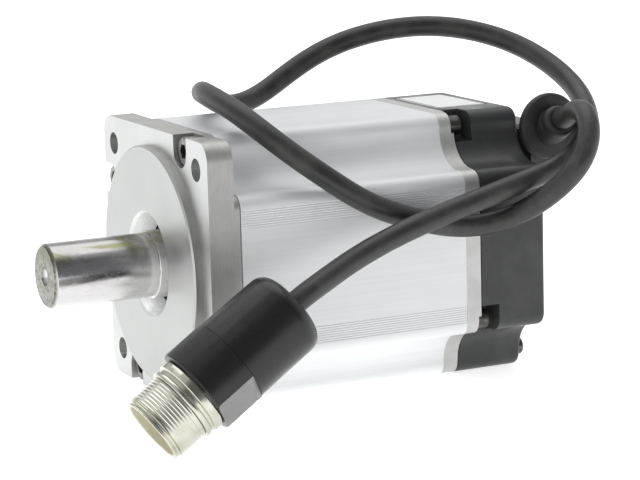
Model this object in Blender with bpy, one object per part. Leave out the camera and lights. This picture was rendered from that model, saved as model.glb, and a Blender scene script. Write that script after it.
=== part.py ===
"""An 80 mm AC servo motor with one free cable that ends in a threaded round connector.

The shaft lies along Y and points to -Y. +Z is up, the cable leaves on the +X side, and the
motor stands on the flat lower edge of its front flange at Z = 0.
Lengths are in millimetres, and world() turns them into metres.
"""

import math

import bmesh
import bpy
import numpy as np
from mathutils import Matrix, Vector

MM = 0.001
GAP = 0.3  # between pieces that touch
SIDES_SEEN = 40  # of a round piece that shows
SIDES_INSIDE = 24  # of one that is closed in

# Places along the shaft, measured from the flange's front face towards the rear
SHAFT_TIP = -35.0
BOSS_FACE = -3.0
PLATE_REAR = 7.8
FLANGE_REAR = 9.5
FRAME_REAR = 81.2
BRACKET_REAR = 86.2
COVER_REAR = 108.2
OUTLET_REAR = 125.0
MIDDLE = (SHAFT_TIP + OUTLET_REAR) / 2  # the part's middle, which is at Y = 0

# Front flange
FLANGE_HALF = 40.0
FLANGE_CORNER = 5.5
BOSS_RADIUS = 35.0
BOSS_BORE = 15.8
BOSS_CHAMFER = 0.9
MOUTH_BORE = 12.6  # where the bore's cone ends, just in front of the oil seal
SEAL_BORE = 15.0
SEAL_SEAT = 3.5
MOUNT_HOLE_RADIUS = 3.3
MOUNT_CIRCLE_RADIUS = 45.0
HOLE_SPOT = MOUNT_CIRCLE_RADIUS / math.sqrt(2)

# Cross section of frame, rear bracket and rear cover: a plus with round tips and round roots
FRAME_HALF = 39.8
ARM_HALF = 24.5
TIP_ROUND = 4.0
ROOT_ROUND = 11.0
FRAME_BORE = 36.0
GROOVES = 8
GROOVE_FIRST = 15.4
GROOVE_PITCH = 0.68
GROOVE_HALF_WIDTH = 0.26
GROOVE_DEPTH = 0.12

# Screws stand in a pinwheel round the shaft: near one edge of each arm
SCREW_SIDE = 20.5
SCREW_OUT = 35.6
SLOT_RADIUS = 4.7
SLOT_DEPTH = 6.4
HEAD_RADIUS = 4.1
HEAD_LENGTH = 5.0
SHANK_RADIUS = 2.1
SCREW_HOLE = SHANK_RADIUS + GAP
POCKET_LENGTH = 5.8
POCKET_HALF = 4.5
SPOTFACE_DEPTH = 0.9
REAR_HEAD_RADIUS = 3.0
REAR_HEAD_LENGTH = 4.2
COVER_SCREW_OUT = 34.5
COVER_HEAD_RADIUS = 2.7
COVER_HEAD_LENGTH = 1.8
COVER_SHANK = 1.5

# Bearings: (front, rear, bore radius, outer radius, ball radius)
FRONT_BEARING = (8.3, 20.3, 10.0, 21.0, 2.5)
REAR_BEARING = (73.6, 82.0, 7.5, 16.0, 1.9)
BALLS = 8

# Rotor and stator
SHAFT_RADIUS = 9.5
SEAL_JOURNAL = 10.0
CORE_FRONT, CORE_REAR = 28.0, 68.0
ROTOR_SEAT = 12.0
ROTOR_RADIUS = 20.0
MAGNET_RADIUS = 22.6
TOOTH_TIP = 23.5
SLOT_INNER, SLOT_OUTER = 25.4, 31.6
TEETH = 12
WINDING_OVERHANG = 5.0

# Rear cover and encoder
COVER_CAVITY = 31.5
COVER_WALL = 3.0
COVER_EDGE = 1.3
GASKET = (32.6, 33.7)
LABEL_DEPTH = 0.6
LABEL_X = (-17.0, 11.0)
LABEL_Y = (88.6, 105.0)
STANDOFF_RADIUS = 27.0
BOARD_FRONT, BOARD_REAR = 97.0, 98.6

# Cable outlet, gland and boot, whose axis is along X
OUTLET_FAR, OUTLET_NEAR = -16.0, 16.0
OUTLET_LOW, OUTLET_HIGH = 16.0, 33.0
OUTLET_WALL = 2.5
OUTLET_CORNER = 3.0
NECK_HALF, NECK_TOP = 5.5, 32.0  # it holds the gland by its lower half
GLAND_ALONG, GLAND_UP = 118.5, 33.4
GLAND_BASE = 24.5
GLAND_RADIUS = 9.5
SIDEWAYS = (0.0, 0.0, -math.pi / 2)  # turns a shape made along Y to lie along X
BOOT_START = 27.3
BOOT_LENGTH = 6.3
BOOT_TILT = math.radians(25)  # it bends up with the cable

# Cable and connector
CABLE_RADIUS = 3.25
CABLE_STEP = 8.0  # between the tube's points
SQUARE_END = 1.2  # a short first and last step, which keeps the tube's ends square
CONNECTOR_TILT = math.radians(34.5)
CONNECTOR_MOUTH = (65.0, -29.4, -31.6)  # sideways, along the shaft, above the shaft
CONNECTOR_LENGTH = 52.0
SHELL_LENGTH = 16.0
GRIP_LENGTH = 12.6
GRIP_RADIUS = 12.8
GRIP_FLAT = 11.5  # from the axis to each of the grip's two flats
FLAT_TURN = math.radians(35)  # the flats stand this far round from the sides
RIM_RADIUS = 9.8
SHELL_BORE = 8.6
INSERT_DEPTH = 9.0
PIN_CIRCLE = 4.6
PINS = 6

# The cable's way: sideways, along the shaft, and up from the shaft
CABLE_ROUTE = [
    (33.0, 118.5, 36.2), (38.4, 118.3, 38.5), (43.8, 117.6, 40.2), (49.2, 116.4, 40.0),
    (54.0, 114.8, 37.6), (57.4, 112.6, 33.4), (58.6, 109.6, 28.2), (57.0, 105.8, 22.8),
    (53.2, 101.4, 17.6), (49.2, 96.4, 13.4), (46.0, 90.0, 10.6), (44.2, 79.0, 9.6),
    (44.0, 64.0, 12.8), (44.1, 47.0, 19.8), (42.4, 37.2, 26.4), (37.7, 28.7, 33.4),
    (30.8, 22.2, 39.9), (21.8, 18.0, 45.1), (11.0, 16.1, 48.1), (-1.0, 17.3, 48.8),
    (-12.5, 21.6, 47.4), (-23.2, 28.6, 44.1), (-31.5, 37.9, 40.4), (-36.2, 49.1, 41.4),
    (-37.5, 61.6, 47.9), (-37.1, 75.6, 54.8), (-34.6, 92.0, 59.1), (-28.5, 112.6, 59.7),
    (-16.5, 128.8, 55.0), (-2.1, 135.8, 48.3), (11.2, 136.7, 42.1), (23.9, 133.0, 36.4),
    (34.7, 126.1, 30.8), (42.1, 114.9, 25.6), (46.0, 100.0, 21.8), (49.5, 79.9, 17.8),
    (52.8, 57.7, 12.9), (58.1, 34.5, 6.2), (62.2, 23.0, 2.1), (65.0, 13.5, -2.1),
]


def world(across, along, up=0.0):
    """Millimetres from the shaft's axis and the flange's face, as a point in metres."""
    return Vector((across, along - MIDDLE, up + FLANGE_HALF)) * MM


# Materials ------------------------------------------------------------------------------

def material(name, colour, roughness, metallic=0.0):
    made = bpy.data.materials.new(name)
    made.use_nodes = True
    shader = made.node_tree.nodes["Principled BSDF"]
    shader.inputs["Base Color"].default_value = (*colour, 1.0)
    shader.inputs["Roughness"].default_value = roughness
    shader.inputs["Metallic"].default_value = metallic
    made.diffuse_color = (*colour, 1.0)
    return made


# Mesh building --------------------------------------------------------------------------

def mesh_object(name, build, colour=None, location=None):
    """A new object whose mesh build() fills in millimetres, about the shaft's axis."""
    shape = bmesh.new()
    build(shape)
    bmesh.ops.scale(shape, vec=(MM, MM, MM), verts=shape.verts)
    bmesh.ops.recalc_face_normals(shape, faces=shape.faces)
    mesh = bpy.data.meshes.new(name)
    shape.to_mesh(mesh)
    shape.free()
    mesh.shade_smooth()
    mesh.set_sharp_from_angle(angle=math.radians(30))
    obj = bpy.data.objects.new(name, mesh)
    obj.location = world(0.0, 0.0) if location is None else location
    bpy.context.scene.collection.objects.link(obj)
    if colour:
        mesh.materials.append(material(name, *colour))
    return obj


def add_rows(shape, rows, closed_ends=True):
    """Loops of points of the same length, joined side by side, with a face on each end."""
    loops = [[shape.verts.new(point) for point in row] for row in rows]
    count = len(loops[0])
    for low, high in zip(loops, loops[1:]):
        for i in range(count):
            j = (i + 1) % count
            shape.faces.new((low[i], low[j], high[j], high[i]))
    if closed_ends:
        shape.faces.new(loops[0])
        shape.faces.new(loops[-1])


def add_loft(shape, rows):
    """rows are (along, outline), and an outline is a list of (across, up)."""
    add_rows(shape, [[(x, along, z) for x, z in outline] for along, outline in rows])


def add_turned(shape, profile, segments=SIDES_SEEN, centre=(0.0, 0.0)):
    """A profile of (radius, along) turned about Y. A radius of 0 at both ends makes a solid."""
    def ring(radius, along):
        if radius == 0.0:
            return [shape.verts.new((centre[0], along, centre[1]))]
        return [
            shape.verts.new((
                centre[0] + radius * math.cos(2 * math.pi * i / segments),
                along,
                centre[1] + radius * math.sin(2 * math.pi * i / segments),
            ))
            for i in range(segments)
        ]

    rings = [ring(*point) for point in profile]
    if profile[0][0] > 0.0:
        rings.append(rings[0])
    for first, second in zip(rings, rings[1:]):
        for i in range(segments):
            j = (i + 1) % segments
            corners = (
                first[i % len(first)], first[j % len(first)],
                second[j % len(second)], second[i % len(second)],
            )
            shape.faces.new(list(dict.fromkeys(corners)))


def add_rod(shape, radius, start, end, centre=(0.0, 0.0), segments=SIDES_INSIDE):
    add_turned(shape, [(0.0, start), (radius, start), (radius, end), (0.0, end)], segments, centre)


def add_box(shape, low, high):
    size = [b - a for a, b in zip(low, high)]
    middle = [(a + b) / 2 for a, b in zip(low, high)]
    matrix = Matrix.Translation(middle) @ Matrix.Diagonal((*size, 1.0))
    bmesh.ops.create_cube(shape, size=1.0, matrix=matrix)


def helper(name, build, location=None, rotation=None):
    """A cutter or a shape to be joined: it is not part of the motor on its own."""
    obj = mesh_object(name, build, location=location)
    if rotation:
        obj.rotation_euler = rotation
    obj.hide_render = True
    obj.display_type = "WIRE"
    return obj


def combine(target, operation, *others):
    for other in others:
        step = target.modifiers.new(other.name, "BOOLEAN")
        step.operation = operation
        step.solver = "EXACT"
        step.object = other


def turned(name, profile, colour, segments=SIDES_INSIDE):
    return mesh_object(name, lambda shape: add_turned(shape, profile, segments), colour)


# Outlines -------------------------------------------------------------------------------

def arc(centre, radius, start, end, steps=5):
    turns = [polar(radius, start + (end - start) * i / steps) for i in range(steps + 1)]
    return [(centre[0] + across, centre[1] + up) for across, up in turns]


def polar(radius, degrees):
    angle = math.radians(degrees)
    return radius * math.cos(angle), radius * math.sin(angle)


def quarter_turns(points):
    """The points, and the same points turned by 90, 180 and 270 degrees."""
    found = []
    for _ in range(4):
        found += points
        points = [(-z, x) for x, z in points]
    return found


def square_outline(half, corner):
    centre = (half - corner, half - corner)
    return quarter_turns(arc(centre, corner, 0, 90))


def plus_outline(inset=0.0):
    half, arm = FRAME_HALF - inset, ARM_HALF - inset
    tip, root = TIP_ROUND - inset, ROOT_ROUND + inset
    near_tip = arc((half - tip, arm - tip), tip, 0, 90)
    inner_root = arc((arm + root, arm + root), root, 270, 180, 7)
    far_tip = arc((arm - tip, half - tip), tip, 0, 90)
    return quarter_turns(near_tip + inner_root + far_tip)


def groove_points():
    """Both bands of fine grooves along the flat end of the +X arm, from low to high."""
    centres = [GROOVE_FIRST + GROOVE_PITCH * i for i in range(GROOVES)]
    found = []
    for centre in sorted(centres + [-c for c in centres]):
        found += [
            (FRAME_HALF, centre - GROOVE_HALF_WIDTH),
            (FRAME_HALF - GROOVE_DEPTH, centre),
            (FRAME_HALF, centre + GROOVE_HALF_WIDTH),
        ]
    return found


def grooved_outline():
    """The plus, with grooves on its two side arms."""
    outline = plus_outline()
    half_way = len(outline) // 2
    grooves = groove_points()
    opposite = [(-x, -z) for x, z in grooves]
    return outline[:half_way] + opposite + outline[half_way:] + grooves


def pinwheel(side, out):
    """Four spots round the axis, one near the edge of each arm, as (across, up)."""
    return [(side, out), (out, -side), (-side, -out), (-out, side)]


# Front end ------------------------------------------------------------------------------

def make_front_flange():
    aluminium = ((0.72, 0.73, 0.73), 0.34, 1.0)
    plate = [(0.0, square_outline(FLANGE_HALF, FLANGE_CORNER)),
             (PLATE_REAR, square_outline(FLANGE_HALF, FLANGE_CORNER))]
    flange = mesh_object("front_flange", lambda s: add_loft(s, plate), aluminium)
    arms = [(PLATE_REAR - 2.0, plus_outline()), (FLANGE_REAR, plus_outline())]
    chamfer = 0.5
    bearing_front, bearing_rear, _, bearing_outer, _ = FRONT_BEARING
    hub = [
        (0.0, BOSS_FACE), (BOSS_RADIUS - chamfer, BOSS_FACE), (BOSS_RADIUS, BOSS_FACE + chamfer),
        (BOSS_RADIUS, 4.0), (FRAME_BORE - GAP, 5.0), (FRAME_BORE - GAP, FLANGE_REAR + 2.5),
        (bearing_outer + 4.0, FLANGE_REAR + 2.5), (bearing_outer + 4.0, bearing_rear + 0.3),
        (0.0, bearing_rear + 0.3),
    ]
    bore = [
        (0.0, BOSS_FACE - 1.0), (BOSS_BORE + 1.0, BOSS_FACE - 1.0),
        (BOSS_BORE - BOSS_CHAMFER, BOSS_FACE + BOSS_CHAMFER), (MOUTH_BORE, SEAL_SEAT),
        (SEAL_BORE, SEAL_SEAT), (SEAL_BORE, bearing_front - GAP),
        (bearing_outer, bearing_front - GAP), (bearing_outer, bearing_rear + 2.0),
        (0.0, bearing_rear + 2.0),
    ]

    def holes(shape):
        for across in (-HOLE_SPOT, HOLE_SPOT):
            for up in (-HOLE_SPOT, HOLE_SPOT):
                add_rod(shape, MOUNT_HOLE_RADIUS, -1.0, PLATE_REAR + 1.0, (across, up), 20)
        for spot in pinwheel(SCREW_SIDE, SCREW_OUT):
            add_rod(shape, SCREW_HOLE, SLOT_DEPTH - 1.0, FLANGE_REAR + 1.0, spot, 10)

    def slots(shape):
        """Each slot is a round-bottomed notch, open at its arm's outer edge."""
        outer = FLANGE_HALF + 2.0
        notch = arc((SCREW_SIDE, SCREW_OUT), SLOT_RADIUS, 180, 360, 8)
        notch += [(SCREW_SIDE + SLOT_RADIUS, outer), (SCREW_SIDE - SLOT_RADIUS, outer)]
        for _ in range(4):
            add_loft(shape, [(-1.0, notch), (SLOT_DEPTH, notch)])
            notch = [(z, -x) for x, z in notch]

    combine(flange, "UNION", helper("flange_arms", lambda s: add_loft(s, arms)),
            helper("flange_hub", lambda s: add_turned(s, hub, 56)))
    combine(flange, "DIFFERENCE", helper("flange_bore", lambda s: add_turned(s, bore)),
            helper("flange_slots", slots), helper("flange_holes", holes))


def make_screw(name, spot, seat, head, shank, towards, socket=None, sides=14):
    """A screw along Y. seat is where its head rests, and towards is the way the shank points.

    head and shank are (radius, length), and socket is (hexagon radius, depth)."""
    head_radius, head_length = head
    shank_radius, shank_length = shank
    chamfer = 0.4
    top = seat - towards * head_length
    profile = [
        (0.0, top), (head_radius - chamfer, top), (head_radius, top + towards * chamfer),
        (head_radius, seat), (shank_radius, seat),
        (shank_radius, seat + towards * (shank_length - chamfer)),
        (shank_radius - chamfer, seat + towards * shank_length), (0.0, seat + towards * shank_length),
    ]
    steel = ((0.32, 0.32, 0.31), 0.4, 1.0)
    screw = mesh_object(name, lambda s: add_turned(s, profile, sides), steel, world(spot[0], 0.0, spot[1]))
    if socket:
        radius, depth = socket
        ends = sorted((top - towards * 0.5, top + towards * depth))
        combine(screw, "DIFFERENCE", helper(
            name + "_socket", lambda s: add_rod(s, radius, *ends, segments=6), screw.location))
    return screw


def make_flange_screws():
    for index, spot in enumerate(pinwheel(SCREW_SIDE, SCREW_OUT), 1):
        make_screw(f"flange_screw_{index}", spot, SLOT_DEPTH - GAP, (HEAD_RADIUS, HEAD_LENGTH),
                   (SHANK_RADIUS, 13.0), 1.0, (2.3, 2.6))


def make_oil_seal():
    rubber = ((0.03, 0.03, 0.03), 0.6)
    inner, outer = SEAL_JOURNAL + GAP, SEAL_BORE - GAP
    front, rear = SEAL_SEAT + GAP, FRONT_BEARING[0] - 2 * GAP
    profile = [(outer, front), (outer, rear), (inner + 1.6, rear), (inner + 1.6, front + 2.6),
               (inner, front + 1.7), (inner, front + 0.9), (inner + 1.2, front)]
    turned("oil_seal", profile, rubber, 32)


# Bearings -------------------------------------------------------------------------------

def make_bearing(place, numbers):
    front, rear, bore, outer, ball = numbers
    steel = ((0.6, 0.6, 0.6), 0.25, 1.0)
    pitch = (bore + outer) / 2
    inner_land, outer_land = pitch - ball - GAP, pitch + ball + GAP
    turned(f"{place}_bearing_outer_race", [
        (outer - GAP, front), (outer - GAP, rear), (outer_land, rear), (outer_land, front)], steel)
    turned(f"{place}_bearing_inner_race", [
        (bore + GAP, front), (inner_land, front), (inner_land, rear), (bore + GAP, rear)], steel)
    middle = (front + rear) / 2

    def cage(shape):
        half, thick = ball * 0.6, ball * 0.4
        add_turned(shape, [(pitch - thick, middle - half), (pitch + thick, middle - half),
                           (pitch + thick, middle + half), (pitch - thick, middle + half)], SIDES_INSIDE)

    def balls(shape):
        for i in range(BALLS):
            angle = 2 * math.pi * i / BALLS
            spot = Matrix.Translation((pitch * math.cos(angle), middle, pitch * math.sin(angle)))
            bmesh.ops.create_icosphere(shape, subdivisions=1, radius=ball, matrix=spot)

    cage_piece = mesh_object(f"{place}_bearing_cage", cage, ((0.55, 0.45, 0.25), 0.35, 1.0))
    combine(cage_piece, "UNION", helper(f"{place}_balls", balls))


def make_wave_spring():
    inner, outer, thick, waves, segments = 12.6, 15.4, 0.4, 3, 36
    middle, height = 83.0, 0.35

    def build(shape):
        sections = []
        for i in range(segments):
            angle = 2 * math.pi * i / segments
            along = middle + height * math.cos(waves * angle)
            sections.append([
                (radius * math.cos(angle), along + side, radius * math.sin(angle))
                for radius, side in ((inner, -thick / 2), (outer, -thick / 2),
                                     (outer, thick / 2), (inner, thick / 2))
            ])
        add_rows(shape, sections + [sections[0]], closed_ends=False)
        bmesh.ops.remove_doubles(shape, verts=shape.verts, dist=1e-4)

    mesh_object("wave_spring", build, ((0.5, 0.5, 0.5), 0.3, 1.0))


# Rotor ----------------------------------------------------------------------------------

def make_rotor():
    steel = ((0.5, 0.5, 0.48), 0.22, 1.0)
    tip, shoulder = SHAFT_TIP, BOSS_FACE
    rear_bore = REAR_BEARING[2]
    profile = [
        (0.0, tip + 6.0), (1.4, tip + 5.2), (1.4, tip + 1.6), (2.8, tip),
        (SHAFT_RADIUS - 1.0, tip), (SHAFT_RADIUS, tip + 1.0),
        (SHAFT_RADIUS, shoulder), (SEAL_JOURNAL, shoulder + 0.3),
        (SEAL_JOURNAL, FRONT_BEARING[1] + GAP), (ROTOR_SEAT, FRONT_BEARING[1] + GAP),
        (ROTOR_SEAT, REAR_BEARING[0] - 2.0), (rear_bore, REAR_BEARING[0] - 2.0),
        (rear_bore, REAR_BEARING[1] + 1.0), (4.0, REAR_BEARING[1] + 1.0), (4.0, 94.6), (3.4, 95.2),
        (0.0, 95.2),
    ]
    turned("rotor_shaft", profile, steel, SIDES_SEEN)
    core_inner = ROTOR_SEAT + GAP
    turned("rotor_core", [(core_inner, CORE_FRONT), (ROTOR_RADIUS, CORE_FRONT),
                          (ROTOR_RADIUS, CORE_REAR), (core_inner, CORE_REAR)],
           ((0.3, 0.3, 0.31), 0.5, 1.0))
    magnet_inner = ROTOR_RADIUS + GAP
    turned("magnet_ring", [(magnet_inner, CORE_FRONT), (MAGNET_RADIUS, CORE_FRONT),
                           (MAGNET_RADIUS, CORE_REAR), (magnet_inner, CORE_REAR)],
           ((0.2, 0.2, 0.21), 0.45, 0.6))


# Stator ---------------------------------------------------------------------------------

def make_stator_frame():
    aluminium = ((0.78, 0.79, 0.79), 0.36, 1.0)
    outline = grooved_outline()
    front, rear = FLANGE_REAR + GAP, FRAME_REAR
    frame = mesh_object("stator_frame", lambda s: add_loft(s, [(front, outline), (rear, outline)]),
                        aluminium)

    def bores(shape):
        add_rod(shape, FRAME_BORE, front - 1.0, rear + 1.0, segments=SIDES_SEEN)
        for spot in pinwheel(SCREW_SIDE, SCREW_OUT):
            add_rod(shape, SCREW_HOLE, front - 1.0, front + 11.0, spot, 10)
            add_rod(shape, SCREW_HOLE, rear - 9.0, rear + 1.0, spot, 10)

    combine(frame, "DIFFERENCE", helper("frame_bores", bores))


def make_stator_core():
    """Laminated ring with open slots between its teeth."""
    outer = FRAME_BORE - GAP
    core = turned("stator_core", [(0.0, CORE_FRONT), (outer, CORE_FRONT), (outer, CORE_REAR),
                                  (0.0, CORE_REAR)], ((0.35, 0.35, 0.36), 0.5, 1.0), SIDES_SEEN)
    pitch = 360 / TEETH
    opening, slot_half = 2.0, pitch * 0.32
    outline = []
    for i in range(TEETH):
        turn = i * pitch
        outline += [polar(TOOTH_TIP, turn - pitch / 2), polar(TOOTH_TIP, turn - opening)]
        outline += [polar(SLOT_INNER, turn - slot_half), polar(SLOT_OUTER, turn - slot_half)]
        outline += [polar(SLOT_OUTER, turn + slot_half), polar(SLOT_INNER, turn + slot_half)]
        outline += [polar(TOOTH_TIP, turn + opening)]
    rows = [(CORE_FRONT - 1.0, outline), (CORE_REAR + 1.0, outline)]
    combine(core, "DIFFERENCE", helper("core_slots", lambda s: add_loft(s, rows)))


def make_stator_winding():
    """The coils: their end turns stand past the core as two rings, joined through its slots."""
    copper = ((0.45, 0.2, 0.08), 0.4, 0.8)
    inner, outer = SLOT_INNER + 0.8, SLOT_OUTER - 0.8
    front = (CORE_FRONT - GAP - WINDING_OVERHANG, CORE_FRONT - GAP)
    rear = (CORE_REAR + GAP, CORE_REAR + GAP + 4.0)

    def ring(low, high):
        return [(inner, low), (outer, low), (outer, high), (inner, high)]

    winding = turned("stator_winding", ring(*front), copper)
    half = 360 / TEETH * 0.2

    def bars(shape):
        for i in range(TEETH):
            turn = i * 360 / TEETH
            outline = arc((0, 0), inner + 0.6, turn - half, turn + half, 2)
            outline += arc((0, 0), outer - 0.6, turn + half, turn - half, 2)
            add_loft(shape, [(front[1] - 1.0, outline), (rear[0] + 1.0, outline)])

    combine(winding, "UNION", helper("winding_bars", bars),
            helper("winding_rear", lambda s: add_turned(s, ring(*rear))))


# Rear end -------------------------------------------------------------------------------

def standoff_spots():
    angles = [math.radians(a) for a in (90, 210, 330)]
    return [(STANDOFF_RADIUS * math.cos(a), STANDOFF_RADIUS * math.sin(a)) for a in angles]


def make_rear_bracket():
    aluminium = ((0.7, 0.7, 0.68), 0.42, 1.0)
    front, rear = FRAME_REAR + GAP, BRACKET_REAR
    rows = [(front, plus_outline()), (rear, plus_outline())]
    bracket = mesh_object("rear_bracket", lambda s: add_loft(s, rows), aluminium)
    bearing_front, bearing_rear, _, bearing_outer, _ = REAR_BEARING

    def inner(shape):
        add_turned(shape, [
            (0.0, bearing_front), (bearing_outer + 3.6, bearing_front),
            (bearing_outer + 3.6, FRAME_REAR - 2.5), (FRAME_BORE - GAP, FRAME_REAR - 2.5),
            (FRAME_BORE - GAP, front + 1.0), (0.0, front + 1.0)])

    def standoffs(shape):
        for spot in standoff_spots():
            add_rod(shape, 2.6, rear - 1.0, BOARD_FRONT - GAP, spot, 12)

    def bores(shape):
        add_turned(shape, [
            (0.0, bearing_front - 1.0), (bearing_outer, bearing_front - 1.0),
            (bearing_outer, bearing_rear + 2.0), (9.0, bearing_rear + 2.0), (9.0, rear + 1.0),
            (0.0, rear + 1.0)], SIDES_INSIDE)
        for spot in pinwheel(SCREW_SIDE, SCREW_OUT):
            add_rod(shape, SCREW_HOLE, front - 1.0, rear + 0.5, spot, 10)
        for spot in pinwheel(SCREW_SIDE, -COVER_SCREW_OUT):
            add_rod(shape, COVER_SHANK + GAP, rear - 4.2, rear + 1.0, spot, 8)
        for spot in standoff_spots():
            add_rod(shape, 1.3, BOARD_FRONT - 6.0, BOARD_FRONT + 1.0, spot, 8)

    def spotfaces(shape):
        for spot in pinwheel(SCREW_SIDE, SCREW_OUT):
            add_rod(shape, POCKET_HALF, rear - SPOTFACE_DEPTH, rear + 1.0, spot, 16)

    combine(bracket, "UNION", helper("bracket_inner", inner), helper("bracket_standoffs", standoffs))
    combine(bracket, "DIFFERENCE", helper("bracket_bores", bores),
            helper("bracket_spotfaces", spotfaces))


def make_rear_screws():
    seat = BRACKET_REAR - SPOTFACE_DEPTH + GAP
    for index, spot in enumerate(pinwheel(SCREW_SIDE, SCREW_OUT), 1):
        make_screw(f"rear_bracket_screw_{index}", spot, seat,
                   (REAR_HEAD_RADIUS, REAR_HEAD_LENGTH), (SHANK_RADIUS, 12.0), -1.0)


def make_rear_cover():
    plastic = ((0.045, 0.046, 0.048), 0.42)
    front = BRACKET_REAR + GAP
    rows = [(front, plus_outline())]
    steps = 4
    for i in range(steps + 1):
        angle = math.radians(90 * i / steps)
        inset = COVER_EDGE * (1 - math.cos(angle))
        rows.append((COVER_REAR - COVER_EDGE + COVER_EDGE * math.sin(angle), plus_outline(inset)))
    cover = mesh_object("rear_cover", lambda s: add_loft(s, rows), plastic)

    def hollow(shape):
        add_rod(shape, COVER_CAVITY, front - 1.0, COVER_REAR - COVER_WALL, segments=32)
        inner, outer = GASKET[0] - GAP, GASKET[1] + GAP
        add_turned(shape, [(inner, front - 1.0), (outer, front - 1.0), (outer, front + 1.6),
                           (inner, front + 1.6)], 32)
        for spot in pinwheel(SCREW_SIDE, -COVER_SCREW_OUT):
            add_rod(shape, COVER_SHANK + GAP, front - 1.0, COVER_REAR + 1.0, spot, 8)

    def pockets(shape):
        outer = FRAME_HALF + 2.0
        notch = [(SCREW_SIDE - POCKET_HALF, outer), (SCREW_SIDE - POCKET_HALF, SCREW_OUT),
                 *arc((SCREW_SIDE, SCREW_OUT), POCKET_HALF, 180, 270, 4),
                 (ARM_HALF + 2.0, SCREW_OUT - POCKET_HALF), (ARM_HALF + 2.0, outer)]
        notch = list(dict.fromkeys(notch))
        for _ in range(4):
            add_loft(shape, [(front - 1.0, notch), (front + POCKET_LENGTH, notch)])
            notch = [(z, -x) for x, z in notch]

    def recess(shape):
        add_box(shape, (LABEL_X[0] - GAP, LABEL_Y[0] - GAP, FRAME_HALF - LABEL_DEPTH),
                (LABEL_X[1] + GAP, LABEL_Y[1] + GAP, FRAME_HALF + 1.0))

    combine(cover, "DIFFERENCE", helper("cover_hollow", hollow), helper("cover_pockets", pockets),
            helper("cover_recess", recess))


def make_name_label():
    def build(shape):
        add_box(shape, (LABEL_X[0], LABEL_Y[0], FRAME_HALF - LABEL_DEPTH + GAP),
                (LABEL_X[1], LABEL_Y[1], FRAME_HALF))

    mesh_object("name_label", build, ((0.85, 0.85, 0.84), 0.5))


def make_cover_screws():
    for index, spot in enumerate(pinwheel(SCREW_SIDE, -COVER_SCREW_OUT), 1):
        make_screw(f"cover_screw_{index}", spot, COVER_REAR + GAP,
                   (COVER_HEAD_RADIUS, COVER_HEAD_LENGTH), (COVER_SHANK, 24.0), -1.0, sides=12)


def make_cover_gasket():
    front = BRACKET_REAR + 2 * GAP
    turned("cover_gasket", [(GASKET[0], front), (GASKET[1], front), (GASKET[1], front + 1.0),
                            (GASKET[0], front + 1.0)], ((0.03, 0.03, 0.03), 0.7), 32)


def make_encoder():
    hub = [(4.0 + GAP, 88.0), (7.5, 88.0), (7.5, 91.4), (5.6, 91.4), (5.6, 93.6), (4.0 + GAP, 93.6)]
    turned("encoder_hub", hub, ((0.6, 0.6, 0.58), 0.35, 1.0))
    disc = [(5.6 + GAP, 91.7), (16.0, 91.7), (16.0, 92.7), (5.6 + GAP, 92.7)]
    turned("encoder_disc", disc, ((0.3, 0.32, 0.33), 0.1), 32)
    board = turned("encoder_board", [(0.0, BOARD_FRONT), (30.0, BOARD_FRONT), (30.0, BOARD_REAR),
                                     (0.0, BOARD_REAR)], ((0.02, 0.16, 0.08), 0.45), 32)

    def holes(shape):
        for spot in standoff_spots():
            add_rod(shape, 1.3, BOARD_FRONT - 1.0, BOARD_REAR + 1.0, spot, 8)

    combine(board, "DIFFERENCE", helper("board_holes", holes))
    for index, spot in enumerate(standoff_spots(), 1):
        make_screw(f"board_screw_{index}", spot, BOARD_REAR + GAP, (2.2, 1.6), (1.0, 6.0), -1.0, sides=8)

    def read_head(shape):
        add_box(shape, (-5.0, 93.4, 9.0), (5.0, BOARD_FRONT - GAP, 16.5))

    mesh_object("encoder_read_head", read_head, ((0.05, 0.05, 0.05), 0.4))


# Cable outlet, gland and boot -----------------------------------------------------------

def make_cable_outlet():
    front = COVER_REAR + GAP

    def outline(inset):
        far, near = OUTLET_FAR + OUTLET_CORNER, OUTLET_NEAR - OUTLET_CORNER
        low, high = OUTLET_LOW + OUTLET_CORNER, OUTLET_HIGH - OUTLET_CORNER
        found = []
        for centre, start in (((near, high), 0), ((far, high), 90), ((far, low), 180), ((near, low), 270)):
            found += arc(centre, OUTLET_CORNER - inset, start, start + 90, 4)
        return found

    rows = [(front, outline(0.0)), (OUTLET_REAR - 2.0, outline(0.0)),
            (OUTLET_REAR - 0.6, outline(0.6)), (OUTLET_REAR, outline(2.0))]
    box = mesh_object("cable_outlet_box", lambda s: add_loft(s, rows), ((0.045, 0.046, 0.048), 0.42))

    def neck(shape):
        add_box(shape, (OUTLET_NEAR - 5.0, GLAND_ALONG - NECK_HALF, OUTLET_LOW + 6.0),
                (GLAND_BASE - GAP, GLAND_ALONG + NECK_HALF, NECK_TOP))

    def cavity(shape):
        add_box(shape, (OUTLET_FAR + OUTLET_WALL, front - 1.0, OUTLET_LOW + OUTLET_WALL),
                (OUTLET_NEAR - 6.5, OUTLET_REAR - OUTLET_WALL, OUTLET_HIGH - OUTLET_WALL))

    combine(box, "UNION", helper("outlet_neck", neck))
    combine(box, "DIFFERENCE", helper("outlet_cavity", cavity))


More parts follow.
